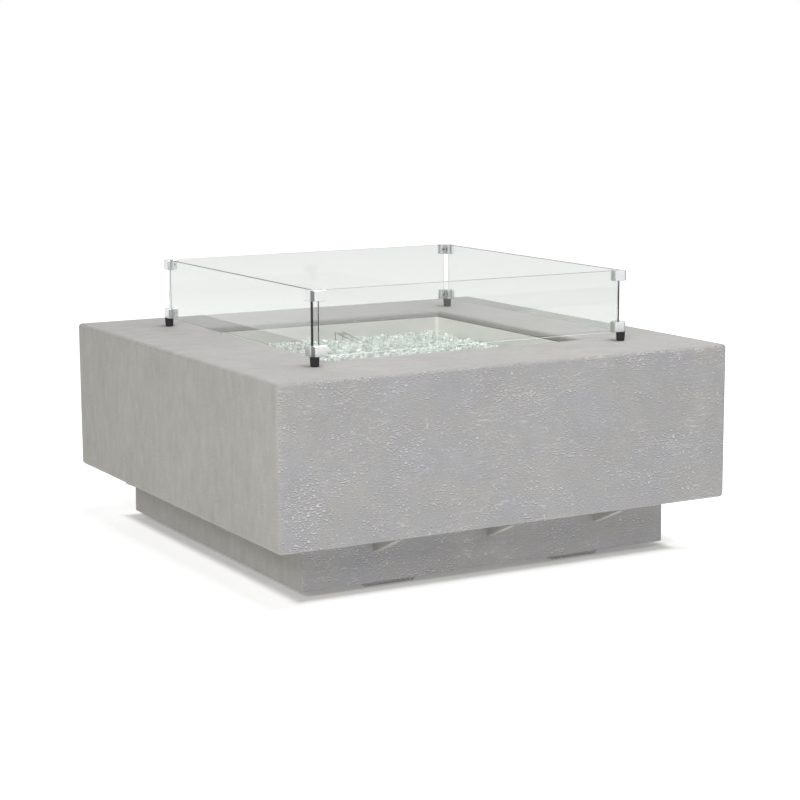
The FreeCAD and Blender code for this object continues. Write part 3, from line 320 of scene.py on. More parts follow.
    # Brightness: the product of the patterns, each of them 1 on average except the wrinkles, which only
    # brighten. The marks of the trowel are left off the moulded faces
    plain = add_node(tree, "ShaderNodeMath", {"operation": "ADD", "use_clamp": True}, {
        0: trowelled, 1: level})
    marks = add_node(tree, "ShaderNodeMath", LESS, {0: value["trowel"], 1: 0.5})
    marks = add_node(tree, "ShaderNodeMath", TIMES_PLUS, {0: marks, 1: plain, 2: 0.5})
    light = 1.0
    for pattern, share, average in ((value["drift"], 0.22, 0.5), (value["blotches"], 0.16, 0.5),
                                    (value["grain"], 0.56, 0.5), (marks, 0.34, 0.5), (line, 0.40, 0.0)):
        factor = add_node(tree, "ShaderNodeMath", TIMES_PLUS, {
            0: pattern, 1: share, 2: 1 - share * average})
        light = add_node(tree, "ShaderNodeMath", TIMES, {0: light, 1: factor})
    colour = add_node(tree, "ShaderNodeVectorMath", {"operation": "SCALE"}, {0: colour, "Scale": light})
    # The dark marks just under the flecks are painted shadow; the pale flecks are painted over them
    for name, paint in (("fleck_shadows", look.fleck_shadow_colour), ("flecks", look.fleck_colour)):
        share = add_node(tree, "ShaderNodeMath", TIMES, {0: mask[name], 1: 0.85})
        colour = add_node(tree, "ShaderNodeMix", COLOURS, {0: share, 6: colour, 7: (*paint, 1)}).outputs[2]

    # Relief, in shares of its depth: the grain, with flecks and wrinkles proud of it and a shallow dent
    # under each fleck where its shadow is painted, on gentle blotches
    height = value["grain"]
    for pattern, share in ((mask["flecks"], 0.15), (mask["fleck_shadows"], -0.2), (line, 0.3),
                           (value["blotches"], 1.2)):
        height = add_node(tree, "ShaderNodeMath", TIMES_PLUS, {0: pattern, 1: share, 2: height})
    relief = add_node(tree, "ShaderNodeBump", inputs={
        "Strength": 0.5, "Distance": RELIEF_DEPTH, "Height": height})
    shader = add_node(tree, "ShaderNodeBsdfPrincipled", inputs={
        "Base Color": colour, "Roughness": 0.82, "Normal": relief})
    tree.links.new(shader.outputs[0], output.inputs["Surface"])
    return material


def clear_sheet_glass(look):
    """Clear tempered sheet glass, 5 mm, with ground edges.

    The faces are polished and faintly grey-green; the ground edges scatter light and show the
    green of the whole depth of the sheet."""
    material, tree, output = new_material("clear_sheet_glass")
    place = add_node(tree, "ShaderNodeTexCoord")
    facing = add_node(tree, "ShaderNodeVectorMath", SIZE_OF, {0: place.outputs["Normal"]})
    side = add_node(tree, "ShaderNodeSeparateXYZ", inputs={0: facing})
    widest = add_node(tree, "ShaderNodeMath", LARGER, {0: side.outputs["X"], 1: side.outputs["Y"]})
    ground = add_node(tree, "ShaderNodeMath", {"operation": "LESS_THAN"}, {0: widest, 1: 0.98})
    # Grinding marks along the edges, 1.1 mm apart, that vary the roughness by 0.1 either way
    marks = add_node(tree, "ShaderNodeTexNoise", inputs={
        "Vector": place.outputs["Object"], "Scale": 900.0, "Detail": 1.0})
    roughness = add_node(tree, "ShaderNodeMath", TIMES_PLUS, {
        0: marks, 1: 0.2, 2: look.edge_roughness - 0.1})
    roughness = add_node(tree, "ShaderNodeMath", TIMES, {0: ground, 1: roughness})
    tint = add_node(tree, "ShaderNodeMix", COLOURS, {
        0: ground, 6: (*look.tint, 1), 7: (*look.edge_tint, 1)})
    shader = add_node(tree, "ShaderNodeBsdfPrincipled", inputs={
        "Base Color": tint.outputs[2], "Roughness": roughness, "IOR": 1.5, "Transmission Weight": 1.0})
    depth = add_node(tree, "ShaderNodeVolumeAbsorption", inputs={
        "Color": (*look.depth_colour, 1), "Density": 9.0})
    tree.links.new(shader.outputs[0], output.inputs["Surface"])
    tree.links.new(depth.outputs[0], output.inputs["Volume"])
    return material


def crushed_glass(look):
    """Tempered glass crushed and tumbled.

    Clear pale aqua pieces with glossy broken faces; each piece has its own slight tint."""
    material, tree, output = new_material("crushed_glass")
    tint = add_node(tree, "ShaderNodeAttribute", {"attribute_name": "tint"})
    place = add_node(tree, "ShaderNodeTexCoord")
    # Ripples of the broken faces, 2 mm apart
    ripple = add_node(tree, "ShaderNodeTexNoise", inputs={
        "Vector": place.outputs["Object"], "Scale": 500.0, "Detail": 1.0})
    relief = add_node(tree, "ShaderNodeBump", inputs={
        "Strength": 0.25, "Distance": 0.5 * MM, "Height": ripple})
    colour = add_node(tree, "ShaderNodeMix", COLOURS, {
        0: tint.outputs["Fac"], 6: (*look.colour, 1), 7: (*look.dark_colour, 1)})
    shader = add_node(tree, "ShaderNodeBsdfPrincipled", inputs={
        "Base Color": colour.outputs[2], "Roughness": 0.05, "IOR": 1.5,
        "Transmission Weight": 0.6, "Normal": relief})
    tree.links.new(shader.outputs[0], output.inputs["Surface"])
    return material


def packed_glass():
    """The lower layers of the crushed glass, seen as one pale body of broken faces."""
    material, tree, output = new_material("packed_glass")
    place = add_node(tree, "ShaderNodeTexCoord")
    # Broken pieces, 9 mm across
    pieces = add_node(tree, "ShaderNodeTexVoronoi", inputs={
        "Vector": place.outputs["Object"], "Scale": 110.0, "Randomness": 1.0})
    shade = add_node(tree, "ShaderNodeSeparateColor", inputs={0: pieces.outputs["Color"]})
    colour = add_node(tree, "ShaderNodeMix", COLOURS, {
        0: shade, 6: linear("#9CA29E"), 7: linear("#D4D9D5")})
    relief = add_node(tree, "ShaderNodeBump", inputs={
        "Strength": 1.0, "Distance": 3 * MM, "Height": pieces.outputs["Distance"]})
    shader = add_node(tree, "ShaderNodeBsdfPrincipled", inputs={
        "Base Color": colour.outputs[2], "Roughness": 0.22, "Normal": relief})
    tree.links.new(shader.outputs[0], output.inputs["Surface"])
    return material


def worked_metal(name, colour, roughness, stretch, depth, spread=0.06, painted_shading=None):
    """A bare or plated metal whose surface was drawn, brushed, cut on a lathe or cast.

    Stretch is how often per metre the marks repeat along X, Y and Z, so that unequal values give the
    brushed line; depth is the relief in millimetres, and spread how far the marks change the
    brightness. The optional last argument is a second, darker colour, painted shade on some pieces and a
    painted reflection on others, and the direction that a face looks in where it has it, all signs
    dropped, with the cosines between which it fades in."""
    material, tree, output = new_material(name)
    place = add_node(tree, "ShaderNodeTexCoord")
    paint = linear(colour)
    # Faces that look in the given direction take the darker colour: painted shade or a painted reflection,
    # as set for each piece
    if painted_shading:
        facing = add_node(tree, "ShaderNodeVectorMath", SIZE_OF, {0: place.outputs["Normal"]})
        painted_shade_colour, direction, fades_from, fades_to = painted_shading
        near = add_node(tree, "ShaderNodeVectorMath", {"operation": "DOT_PRODUCT"}, {
            0: facing, 1: direction})
        share = add_node(tree, "ShaderNodeMapRange", SMOOTH, {
            "Value": near.outputs["Value"], "From Min": fades_from, "From Max": fades_to})
        paint = add_node(tree, "ShaderNodeMix", COLOURS, {0: share, 6: paint, 7: linear(painted_shade_colour)}).outputs[2]
    along = add_node(tree, "ShaderNodeMapping", {"vector_type": "POINT"}, {
        "Vector": place.outputs["Object"], "Scale": stretch})
    marks = add_node(tree, "ShaderNodeTexNoise", inputs={
        "Vector": along, "Scale": 1.0, "Detail": 3.0, "Roughness": 0.6})
    level = add_node(tree, "ShaderNodeMath", TIMES_PLUS, {0: marks, 1: spread * 2, 2: 1 - spread})
    tone = add_node(tree, "ShaderNodeMix", {"data_type": "RGBA", "blend_type": "MULTIPLY"}, {
        0: 1.0, 6: paint, 7: level})
    # The marks vary the roughness by 0.06 either way
    gloss = add_node(tree, "ShaderNodeMath", TIMES_PLUS, {0: marks, 1: 0.12, 2: roughness - 0.06})
    relief = add_node(tree, "ShaderNodeBump", inputs={
        "Strength": 0.5, "Distance": depth * MM, "Height": marks})
    shader = add_node(tree, "ShaderNodeBsdfPrincipled", inputs={
        "Base Color": tone.outputs[2], "Metallic": 1.0, "Roughness": gloss, "Normal": relief})
    tree.links.new(shader.outputs[0], output.inputs["Surface"])
    return material


def moulded_solid(name, colour, roughness, grain, depth, ior=1.5):
    """Moulded plastic or rubber, or fired ceramic: one colour with the fine texture of its mould.

    Grain is the size of the texture in millimetres and depth its relief."""
    material, tree, output = new_material(name)
    place = add_node(tree, "ShaderNodeTexCoord")
    texture = add_node(tree, "ShaderNodeTexNoise", inputs={
        "Vector": place.outputs["Object"], "Scale": 1 / (grain * MM), "Detail": 2.0})
    # The texture varies the brightness by 0.1 and the roughness by 0.08 either way
    level = add_node(tree, "ShaderNodeMath", TIMES_PLUS, {0: texture, 1: 0.2, 2: 0.9})
    tone = add_node(tree, "ShaderNodeVectorMath", {"operation": "SCALE"}, {
        0: linear(colour)[:3], "Scale": level})
    gloss = add_node(tree, "ShaderNodeMath", TIMES_PLUS, {0: texture, 1: 0.16, 2: roughness - 0.08})
    relief = add_node(tree, "ShaderNodeBump", inputs={
        "Strength": 0.4, "Distance": depth * MM, "Height": texture})
    shader = add_node(tree, "ShaderNodeBsdfPrincipled", inputs={
        "Base Color": tone, "Roughness": gloss, "IOR": ior, "Normal": relief})
    tree.links.new(shader.outputs[0], output.inputs["Surface"])
    return material


# Shapes

# The heap of glass: half its width, its height at the wall of the pan, its rise to the middle, and the
# share of the rise at shares of the way out
HEAP_REACH = 262.5 * MM
HEAP_EDGE = 338.0 * MM
HEAP_RISE = 23.0 * MM
HEAP_STEPS = ((0.0, 1.0), (0.2, 1.0), (0.48, 0.88), (0.76, 0.62), (1.0, 0.0))
# Its lumps: their height, and the length and the direction in degrees of each wave
HEAP_LUMP = 1.7 * MM
HEAP_WAVES = ((52.0 * MM, 20.0), (60.84 * MM, 82.0), (46.8 * MM, 141.0))
# The room left open round the pilot, along X and along Y, and how far outside it the heap is full again
PILOT_ROOM = ((-28.5 * MM, 20.5 * MM), (145.0 * MM, 195.0 * MM))
PILOT_SLOPE = 6 * MM

# The bed of packed glass: points along a side, gap to the wall, depth under the top of the heap,
# roughness, thickness, lowest point of its underside, and floor of the room round the pilot
BED_POINTS = 121
BED_GAP = 0.5 * MM
BED_DROP = 4 * MM
BED_ROUGHNESS = 1.5 * MM
BED_THICKNESS = 6 * MM
BED_BOTTOM = 297 * MM
PILOT_FLOOR = 300 * MM

# The loose glass: heights in millimetres over the heap, of the full layer and of the strewn pieces, how
# many rows of the layer the strewn pieces make up, and the share of the heap that they reach
LAYER_LIFT = (-4.5, -1.5)
STREWN_LIFT = (-1.5, 2.0)
STREWN_ROWS = 14
STREWN_REACH = 0.92
# One piece, in shares of its size: its three widths, the pushes on its points and its gap to the wall
PIECE_WIDTHS = (0.55, 1.15)
PIECE_PUSHES = (0.72, 1.18)
PIECE_GAP = 1.1
PIECE_POINTS = 12

# A set screw: radius and depth of its profile from the socket's floor out and back to the axis, in
# millimetres, and the steps round it
SCREW_PROFILE = ((0, -1.2), (1.1, -1.2), (1.1, 0.25), (1.9, 0.25), (2.2, 0.0), (2.2, -0.6), (0, -0.6))
SCREW_STEPS = 16
# Its place in the leg of a clip: half the guard's width, and how far in from there the clip's inner face
# and the screw lie
GUARD_HALF = 318 * MM
CLIP_FACE = 8.75 * MM
SCREW_ALONG = 14.6 * MM


def heap_height(x, y):
    """Height of the glass: it falls in straight steps with the larger of |x| and |y|, and carries three
    low waves that cross."""
    share = np.maximum(np.abs(x), np.abs(y)) / HEAP_REACH
    steps = np.array(HEAP_STEPS)
    lumps = 0
    for length, degrees in HEAP_WAVES:
        turn = math.radians(degrees)
        lumps = lumps + np.sin(2 * np.pi * (x * math.cos(turn) + y * math.sin(turn)) / length)
    return HEAP_EDGE + HEAP_RISE * np.interp(share, steps[:, 0], steps[:, 1]) + HEAP_LUMP * lumps


def pilot_clearance(x, y):
    """0 inside the room round the pilot, rising to 1 over the slope outside its walls."""
    (left, right), (front, back) = PILOT_ROOM
    outside = np.maximum.reduce([left - x, x - right, front - y, y - back])
    return np.clip(outside / PILOT_SLOPE, 0, 1)


def ring_of_five(height, start):
    """Five points round a ball of radius 1, at a height and a start given as angles in degrees."""
    rise = math.radians(height)
    turns = np.radians(start + 72 * np.arange(5))
    return np.stack([math.cos(rise) * np.cos(turns), math.cos(rise) * np.sin(turns),
                     np.full(5, math.sin(rise))], axis=-1)


def turned_at_random(rng, count):
    """Matrices of random turns, from quaternions with normally distributed parts."""
    spin = rng.normal(size=(count, 4))
    spin /= np.linalg.norm(spin, axis=1, keepdims=True)
    w, i, j, k = spin.T
    turn = np.stack([1 - 2 * (j * j + k * k), 2 * (i * j - k * w), 2 * (i * k + j * w),
                     2 * (i * j + k * w), 1 - 2 * (i * i + k * k), 2 * (j * k - i * w),
                     2 * (i * k - j * w), 2 * (j * k + i * w), 1 - 2 * (i * i + j * j)], axis=-1)
    return turn.reshape(-1, 3, 3)


# Floor, light and camera

# The floor's glow: distances from the middle between which it grows, its level far out, the margin
# outside the plinth in which it comes up, its share under the plinth, where it is cut down as a
# painted shadow of the plinth, and its share as light on things
GLOW_REACH = (0.8, 4.0)
GLOW_FAR = 0.90
PAINTED_SHADOW_MARGIN = (0.002, 0.030)
PAINTED_SHADOW_GLOW = 0.22
GLOW_LIGHT = 0.55
# The direction that the stronger even light comes from, and the cosines between which it grows
REAR_DIRECTION = (0.45, 0.87, 0.2)
REAR_CONE = (0.5, 0.95)
# Width and place of the two lamps in metres, and the point that they look at
OVERHEAD_LAMP = (2.4, (0.4, -0.8, 3.3))
FRONT_LAMP = (1.3, (-3.6, -3.3, 2.6))
LAMP_AIM = (0, 0, 0.2)
# The camera: place in metres, focal length in millimetres, and turn, tilt and roll in radians
CAMERA_PLACE = (-1.8700, -3.4008, 0.90355)
CAMERA_LENS = 91.818
CAMERA_TURNS = (-0.50853, 0.16462, -0.00528)


# Operators

class FIREPIT_OT_concrete(bpy.types.Operator):
    """Gives the block and the plinth their cast concrete"""
    bl_idname = "firepit.concrete"
    bl_label = "Concrete"

    def execute(self, context):
        dress(["table_block", "plinth"], cast_concrete(context.scene.firepit_concrete))
        return {"FINISHED"}


class FIREPIT_OT_panes(bpy.types.Operator):
    """Gives the four panes of the wind guard their clear glass"""
    bl_idname = "firepit.panes"
    bl_label = "Glass panes"

    def execute(self, context):
        panes = ["glass_front", "glass_right", "glass_rear", "glass_left"]
        dress(panes, clear_sheet_glass(context.scene.firepit_panes))
        # Clear glass barely dims the light, so the panes cast no shadow
        for name in panes:
            nodes[name].visible_shadow = False
            nodes[name].visible_diffuse = False
        return {"FINISHED"}


class FIREPIT_OT_metal(bpy.types.Operator):
    """Gives the steel, brass and aluminium pieces their finishes"""
    bl_idname = "firepit.metal"
    bl_label = "Metal pieces"

    def execute(self, context):
        # Cold-rolled stainless sheet, brushed level: soft grey reflections drawn out upright. Faces that
        # look up or down, the rim among them, are painted a dark brown-grey: painted shade of the gap under
        # the concrete lip
        dress(["burner_pan"],
              worked_metal("brushed_stainless_sheet", "#EEECE9", 0.44, (30, 30, 1500), 0.02,
                           painted_shading=("#6F6860", (0, 0, 1), 0.15, 0.35)))
        # Pressed stainless panel, bead-blasted: an even, darker grey
        dress(["control_tray"],
              worked_metal("blasted_stainless_panel", "#B5B3AF", 0.5, (1100, 1100, 1100), 0.02, 0.04))
        # Drawn stainless wire and tube: finer and rounder, with marks along no one axis
        dress(["burner_ring", "pilot_bracket", "electrode_rod", "igniter_guard"],
              worked_metal("drawn_stainless", "#98968F", 0.32, (700, 700, 700), 0.01))
        # Zinc-plated steel: a cool, faintly mottled satin grey
        dress(["joint_brackets", "bracket_bolts", "pan_clips", "pan_clip_screws", "burner_lock_nut",
               "tray_screws", "valve_nut", "stem_washer", "stem_spring", "igniter_spring"],
              worked_metal("zinc_plated_steel", "#BFC1C4", 0.36, (260, 260, 260), 0.02, 0.1))
        # Polished nickel-plated steel: nearly a mirror, with faint turning rings
        dress(["knob_bezel", "igniter_ring_nut", "igniter_battery"],
              worked_metal("polished_nickel_plate", "#D6D5D2", 0.12, (900, 60, 900), 0.005, 0.02))
        # Turned brass: warm yellow, with fine tool marks
        dress(["air_mixer", "gas_orifice", "thermocouple", "valve_stem", "tube_nuts", "gas_inlet_union",
               "union_lock_nut"],
              worked_metal("turned_brass", "#D8B66A", 0.28, (400, 1800, 1800), 0.01))
        # Die-cast aluminium: dull grey with the grain of the die
        dress(["valve_body"],
              worked_metal("die_cast_aluminium", "#B4B5B7", 0.48, (500, 500, 500), 0.06, 0.08))
        # Drawn aluminium tube: bright and soft, with lengthwise drawing lines
        dress(["burner_tube", "inlet_tube"],
              worked_metal("drawn_aluminium_tube", "#D2D3D4", 0.34, (1200, 40, 1200), 0.01))
        # Satin anodised aluminium: pale, even flats. The extruded barrel at the corner, where the faces
        # look out diagonally, is painted a darker grey: a painted reflection of dark surroundings
        dress(["lower_clips", "upper_clips"],
              worked_metal("satin_anodised_aluminium", "#D3D5D5", 0.22, (160, 160, 2600), 0.01, 0.03,
                           painted_shading=("#6E7071", (0.7071, 0.7071, 0), 0.84, 0.97)))
        return {"FINISHED"}


class FIREPIT_OT_moulded(bpy.types.Operator):
    """Gives the plastic, rubber and ceramic pieces their finishes"""
    bl_idname = "firepit.moulded"
    bl_label = "Plastic, rubber and ceramic"

    def execute(self, context):
        # Glass-filled nylon, moulded with a fine spark texture: matt near-black
        dress(["control_knob", "igniter_housing", "igniter_button"],
              moulded_solid("moulded_black_nylon", "#1B1B1C", 0.42, 0.8, 0.05, 1.53))
        # Carbon-filled rubber, moulded: black with a dull bloom
        dress(["guard_feet"], moulded_solid("moulded_black_rubber", "#171718", 0.62, 1.2, 0.05, 1.52))
        # Alumina ceramic, fired unglazed: warm white and chalky
        dress(["electrode_insulator"], moulded_solid("fired_alumina", "#E6E3DA", 0.45, 1.0, 0.03, 1.76))
        # Silicone channel, extruded: milky and soft
        dress(["clip_gaskets"], moulded_solid("extruded_silicone", "#C4C7C5", 0.5, 1.0, 0.03, 1.41))
        return {"FINISHED"}


class FIREPIT_OT_glass_bed(bpy.types.Operator):
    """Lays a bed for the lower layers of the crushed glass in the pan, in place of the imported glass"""
    bl_idname = "firepit.glass_bed"
    bl_label = "Bed of glass"

    def execute(self, context):
        # A height over a square grid: the heap's height less the drop, with a seeded roughness, and a
        # pit inside the pilot's room. The underside follows it at the thickness, but no lower than the
        # bottom, and a skirt joins the two round the rim.
        rng = np.random.default_rng(context.scene.firepit_glass.seed)
        line = np.linspace(BED_GAP - HEAP_REACH, HEAP_REACH - BED_GAP, BED_POINTS)
        x, y = np.meshgrid(line, line, indexing="xy")
        rough = rng.normal(0, BED_ROUGHNESS, x.shape).clip(-2 * BED_ROUGHNESS, 2 * BED_ROUGHNESS)
        top = heap_height(x, y) - BED_DROP + rough
        z = PILOT_FLOOR + (top - PILOT_FLOOR) * pilot_clearance(x, y)
        upper = np.stack([x, y, z], axis=-1).reshape(-1, 3)
        lower = np.stack([x, y, np.maximum(z - BED_THICKNESS, BED_BOTTOM)], axis=-1).reshape(-1, 3)
        quads = grid_faces(BED_POINTS, BED_POINTS, False)
        last = BED_POINTS - 1
        side = np.arange(last)
        rim = np.concatenate([side, side * BED_POINTS + last,
                              (last - side) + last * BED_POINTS, (last - side) * BED_POINTS])
        below = rim + BED_POINTS ** 2
        skirt = np.stack([rim, below, np.roll(below, -1), np.roll(rim, -1)], axis=-1)
        faces = np.concatenate([quads, quads[:, ::-1] + BED_POINTS ** 2, skirt])
        piece = new_piece("glass_bed", np.concatenate([upper, lower]), faces.tolist(), packed_glass(),
                          "table")
        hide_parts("fire_glass")
        return {"FINISHED"}


class FIREPIT_OT_glass_pieces(bpy.types.Operator):
    """Scatters the loose top layers of the crushed glass"""
    bl_idname = "firepit.glass_pieces"
    bl_label = "Loose glass"

    def execute(self, context):
        # A full layer on a jittered grid, and strewn pieces over it. Each piece is two rings of five
        # points with a point at each pole: a ball stretched by its own three widths, each point pushed
        # in or out, and the whole turned at random.
        look = context.scene.firepit_glass
        rng = np.random.default_rng(look.seed + 1)
        pitch = 2 * HEAP_REACH / look.across
        line = (np.arange(look.across) + 0.5) * pitch - HEAP_REACH
        x, y = np.meshgrid(line, line, indexing="xy")
        layer = look.across ** 2
        strewn = look.across * STREWN_ROWS
        x = np.concatenate([x.ravel(), rng.uniform(-STREWN_REACH, STREWN_REACH, strewn) * HEAP_REACH])
        y = np.concatenate([y.ravel(), rng.uniform(-STREWN_REACH, STREWN_REACH, strewn) * HEAP_REACH])
        x = x + rng.uniform(-0.5, 0.5, x.size) * pitch
        y = y + rng.uniform(-0.5, 0.5, y.size) * pitch
        lift = np.concatenate([rng.uniform(*LAYER_LIFT, layer), rng.uniform(*STREWN_LIFT, strewn)]) * MM
        size = rng.uniform(look.smallest, look.largest, x.size)
        limit = HEAP_REACH - PIECE_GAP * size
        x = np.clip(x, -limit, limit)
        y = np.clip(y, -limit, limit)
        # No loose piece lies in the room round the pilot
        clear = pilot_clearance(x, y) > 0.9
        x, y, lift, size = x[clear], y[clear], lift[clear], size[clear]
        count = x.size
        ball = np.concatenate([[(0, 0, -1)], ring_of_five(-26, 0), ring_of_five(26, 36), [(0, 0, 1)]])
        widths = rng.uniform(*PIECE_WIDTHS, (count, 1, 3))
        push = rng.uniform(*PIECE_PUSHES, (count, PIECE_POINTS, 1))
        shapes = ball[None] * widths * push * size[:, None, None]
        shapes = np.einsum("nij,npj->npi", turned_at_random(rng, count), shapes)
        centres = np.stack([x, y, heap_height(x, y) + lift], axis=-1)
        points = (shapes + centres[:, None]).reshape(-1, 3)
        low, high = np.arange(1, 6), np.arange(6, 11)
        low_next, high_next = np.roll(low, -1), np.roll(high, -1)
        first, last = np.zeros(5, int), np.full(5, PIECE_POINTS - 1)
        one = np.concatenate([np.stack(corners, axis=1) for corners in (
            (first, low_next, low), (low, low_next, high),
            (low_next, high_next, high), (last, high, high_next))])
        faces = (one[None] + PIECE_POINTS * np.arange(count)[:, None, None]).reshape(-1, 3)
        piece = new_piece("loose_glass", points, faces.tolist(), crushed_glass(look), "table")
        tint = piece.data.attributes.new("tint", "FLOAT", "POINT")
        tint.data.foreach_set("value", np.repeat(rng.uniform(0, 1, count), PIECE_POINTS).astype(np.float32))
        # Clear pieces let the light through to those below
        piece.visible_shadow = False
        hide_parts("fire_glass")
        return {"FINISHED"}


class FIREPIT_OT_clip_screws(bpy.types.Operator):
    """Puts a socket set screw in each leg of the corner clips"""
    bl_idname = "firepit.clip_screws"
    bl_label = "Clip set screws"

    def execute(self, context):
        # The profile of radius against depth, turned round the screw's axis; the socket is the part of
        # the profile that goes back in.
        profile = np.array(SCREW_PROFILE) * MM
        turns = np.linspace(0, 2 * np.pi, SCREW_STEPS, endpoint=False)
        radius, depth = profile[1:-1, 0], profile[1:-1, 1]
        ring = np.stack([radius[:, None] * np.cos(turns), radius[:, None] * np.sin(turns),
                         np.repeat(depth[:, None], SCREW_STEPS, 1)], axis=-1).reshape(-1, 3)
        points = np.concatenate([ring, [(0, 0, profile[0, 1]), (0, 0, profile[-1, 1])]])
        walls = grid_faces(len(radius), SCREW_STEPS, True)
        first = np.arange(SCREW_STEPS)
        last = first + (len(radius) - 1) * SCREW_STEPS
        socket, back = np.full_like(first, len(ring)), np.full_like(first, len(ring) + 1)
        caps = np.concatenate([np.stack([first, socket, np.roll(first, -1)], axis=-1),
                               np.stack([last, np.roll(last, -1), back], axis=-1)])
        # Set screws of black-oxide steel: dark grey and satin
        steel = worked_metal("black_oxide_steel", "#55565A", 0.4, (900, 900, 900), 0.01)
        for name, node in (("lower_clip_screws", "lower_clips"), ("upper_clip_screws", "upper_clips")):
            low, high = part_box(node)
            middle = (low.z + high.z) / 2
            # Front left corner: one leg along X whose inner face looks along +Y, and its mirror image
            near, along = CLIP_FACE - GUARD_HALF, SCREW_ALONG - GUARD_HALF
            pair = (np.stack([-points[:, 0], points[:, 2], points[:, 1]], axis=-1) + (along, near, middle),
                    np.stack([points[:, 2], points[:, 0], points[:, 1]], axis=-1) + (near, along, middle))
            all_points, quads, triangles = [], [], []
            for corner in range(4):
                cosine, sine = math.cos(math.pi / 2 * corner), math.sin(math.pi / 2 * corner)
                about = np.array([[cosine, -sine, 0], [sine, cosine, 0], [0, 0, 1]])
                for screw in pair:
                    offset = len(points) * len(all_points)
                    all_points.append(screw @ about.T)
                    quads += (walls + offset).tolist()
                    triangles += (caps + offset).tolist()
            new_piece(name, np.concatenate(all_points), quads + triangles, steel,
                      "wind_guard")
        return {"FINISHED"}


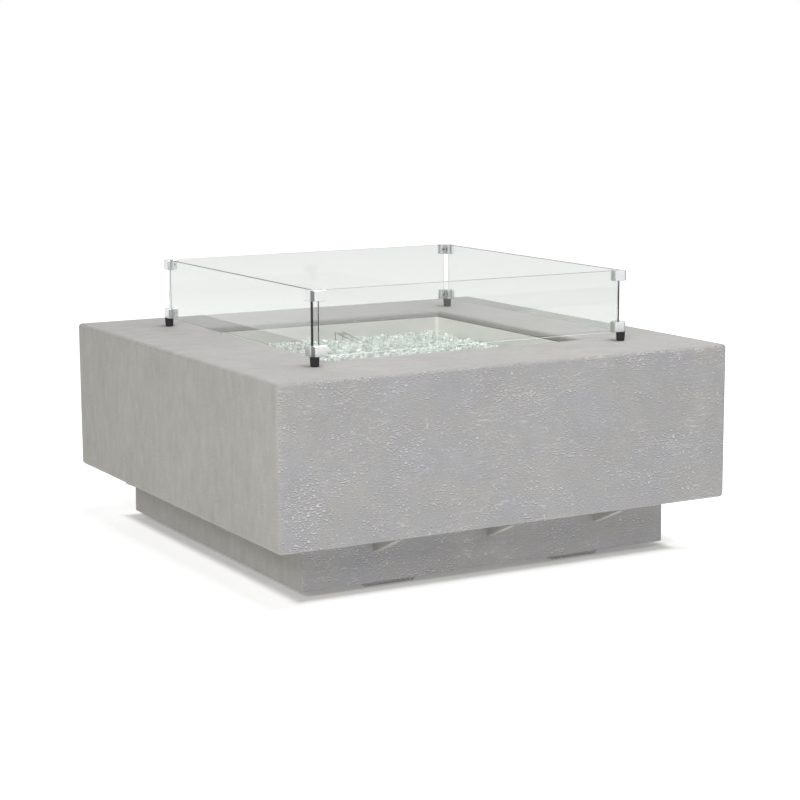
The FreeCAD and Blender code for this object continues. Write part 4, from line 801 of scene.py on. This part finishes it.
class FIREPIT_OT_stage(bpy.types.Operator):
    """Sets the pale floor, the soft light and the camera"""
    bl_idname = "firepit.stage"
    bl_label = "Floor, light and camera"

    def execute(self, context):
        look = context.scene.firepit_stage
        material, tree, output = new_material("pale_floor")
        matt = add_node(tree, "ShaderNodeBsdfDiffuse", inputs={"Color": linear("#F2F2F1")})
        # The glow grows with the distance from the table, where the lamps no longer reach. Where it is
        # seen it is faint on the square that the plinth stands over and just outside it, a painted shadow
        # of the plinth; it lights things at about half
        place = add_node(tree, "ShaderNodeTexCoord")
        away = add_node(tree, "ShaderNodeVectorMath", {"operation": "LENGTH"}, {0: place.outputs["Object"]})
        added = add_node(tree, "ShaderNodeMapRange", SMOOTH, {
            "Value": away.outputs["Value"], "From Min": GLOW_REACH[0], "From Max": GLOW_REACH[1],
            "To Min": look.floor_glow, "To Max": GLOW_FAR})
        offset = add_node(tree, "ShaderNodeVectorMath", SIZE_OF, {0: place.outputs["Object"]})
        offset = add_node(tree, "ShaderNodeSeparateXYZ", inputs={0: offset})
        widest = add_node(tree, "ShaderNodeMath", LARGER, {0: offset.outputs["X"], 1: offset.outputs["Y"]})
        # Painted shadow of the plinth: where seen, the glow drops to a faint share on the square under the
        # plinth
        clear = add_node(tree, "ShaderNodeMapRange", SMOOTH, {
            "Value": widest, "From Min": look.plinth_half + PAINTED_SHADOW_MARGIN[0],
            "From Max": look.plinth_half + PAINTED_SHADOW_MARGIN[1], "To Min": PAINTED_SHADOW_GLOW, "To Max": 1.0})
        seen = seen_ray(tree, look.behind_glass)
        lit = add_node(tree, "ShaderNodeMapRange", inputs={
            "Value": seen, "To Min": GLOW_LIGHT, "To Max": 0.0})
        seen_glow_with_painted_shadow = add_node(tree, "ShaderNodeMath", TIMES, {0: clear, 1: seen})
        share = add_node(tree, "ShaderNodeMath", LARGER, {0: lit, 1: seen_glow_with_painted_shadow})
        level = add_node(tree, "ShaderNodeMath", TIMES, {0: added, 1: share})
        glow = add_node(tree, "ShaderNodeEmission", inputs={"Color": (1, 1, 1, 1), "Strength": level})
        both = add_node(tree, "ShaderNodeAddShader", inputs={0: matt, 1: glow})
        tree.links.new(both.outputs[0], output.inputs["Surface"])
        half = look.floor_size / 2
        corners = [(-half, -half, 0), (half, -half, 0), (half, half, 0), (-half, half, 0)]
        mesh = bpy.data.meshes.new("floor")
        mesh.from_pydata(corners, [], [(0, 1, 2, 3)])
        mesh.materials.append(material)
        floor = bpy.data.objects.new("floor", mesh)
        context.scene.collection.objects.link(floor)

        world = bpy.data.worlds.new("soft_room")
        context.scene.world = world
        world.use_nodes = True
        tree = world.node_tree
        tree.nodes.clear()
        # The even light is stronger in a wide cone from low behind, so that the rear face isn't left dark
        place = add_node(tree, "ShaderNodeTexCoord")
        behind = add_node(tree, "ShaderNodeVectorMath", {"operation": "DOT_PRODUCT"}, {
            0: place.outputs["Object"], 1: REAR_DIRECTION})
        even = add_node(tree, "ShaderNodeMapRange", SMOOTH, {
            "Value": behind.outputs["Value"], "From Min": REAR_CONE[0], "From Max": REAR_CONE[1],
            "To Min": look.sky_level, "To Max": look.rear_level})
        level = add_node(tree, "ShaderNodeMapRange", inputs={
            "Value": seen_ray(tree, look.behind_glass), "To Min": even, "To Max": 1.0})
        sky = add_node(tree, "ShaderNodeBackground", inputs={"Color": (1, 1, 1, 1), "Strength": level})
        add_node(tree, "ShaderNodeOutputWorld", inputs={"Surface": sky})

        self.hang_lamp("overhead_lamp", look.overhead_power, *OVERHEAD_LAMP)
        self.hang_lamp("front_lamp", look.front_power, *FRONT_LAMP)
        self.place_camera()
        context.scene.view_settings.view_transform = "Standard"
        return {"FINISHED"}

    def hang_lamp(self, name, power, size, place):
        """Hangs a round soft lamp that looks at the table."""
        lamp = bpy.data.lights.new(name, "AREA")
        lamp.shape = "DISK"
        lamp.size = size
        lamp.energy = power
        holder = bpy.data.objects.new(name, lamp)
        bpy.context.scene.collection.objects.link(holder)
        holder.location = place
        holder.rotation_euler = (Vector(LAMP_AIM) - holder.location).to_track_quat("-Z", "Y").to_euler()

    def place_camera(self):
        """Puts the camera where the photograph was taken from."""
        camera = bpy.data.cameras.new("camera")
        camera.sensor_width = 36.0
        camera.lens = CAMERA_LENS
        camera.clip_end = 200.0
        view = bpy.data.objects.new("camera", camera)
        bpy.context.scene.collection.objects.link(view)
        turn, tilt, roll = CAMERA_TURNS
        back = Vector((math.sin(turn) * math.cos(tilt), -math.cos(turn) * math.cos(tilt), math.sin(tilt)))
        level_right = Vector((math.cos(turn), math.sin(turn), 0))
        level_up = back.cross(level_right)
        right = level_right * math.cos(roll) + level_up * math.sin(roll)
        up = level_up * math.cos(roll) - level_right * math.sin(roll)
        view.matrix_world = Matrix((right, up, back)).transposed().to_4x4()
        view.location = CAMERA_PLACE
        bpy.context.scene.camera = view


class FIREPIT_PT_panel(bpy.types.Panel):
    """Lists the pieces of the table and their settings"""
    bl_idname = "FIREPIT_PT_panel"
    bl_label = "Fire pit table"
    bl_space_type = "VIEW_3D"
    bl_region_type = "UI"
    bl_category = "Fire pit"

    def draw(self, context):
        for group in ("firepit_concrete", "firepit_panes", "firepit_glass", "firepit_stage"):
            settings = getattr(context.scene, group)
            for name in settings.__annotations__:
                self.layout.prop(settings, name)
        for operator in OPERATORS:
            self.layout.operator(operator.bl_idname)


OPERATORS = (FIREPIT_OT_concrete, FIREPIT_OT_panes, FIREPIT_OT_metal, FIREPIT_OT_moulded,
             FIREPIT_OT_glass_bed, FIREPIT_OT_glass_pieces, FIREPIT_OT_clip_screws, FIREPIT_OT_stage)
SETTINGS = (("firepit_concrete", ConcreteLook), ("firepit_glass", FireGlassLook),
            ("firepit_panes", PaneLook), ("firepit_stage", StageLook))


def register():
    for name, group in SETTINGS:
        bpy.utils.register_class(group)
        setattr(bpy.types.Scene, name, bpy.props.PointerProperty(type=group))
    for operator in OPERATORS:
        bpy.utils.register_class(operator)
    bpy.utils.register_class(FIREPIT_PT_panel)


def unregister():
    bpy.utils.unregister_class(FIREPIT_PT_panel)
    for operator in reversed(OPERATORS):
        bpy.utils.unregister_class(operator)
    for name, group in reversed(SETTINGS):
        delattr(bpy.types.Scene, name)
        bpy.utils.unregister_class(group)


def main():
    register()
    bpy.ops.firepit.concrete()
    bpy.ops.firepit.panes()
    bpy.ops.firepit.metal()
    bpy.ops.firepit.moulded()
    bpy.ops.firepit.glass_bed()
    bpy.ops.firepit.glass_pieces()
    bpy.ops.firepit.clip_screws()
    bpy.ops.firepit.stage()


if __name__ == "__main__":
    main()
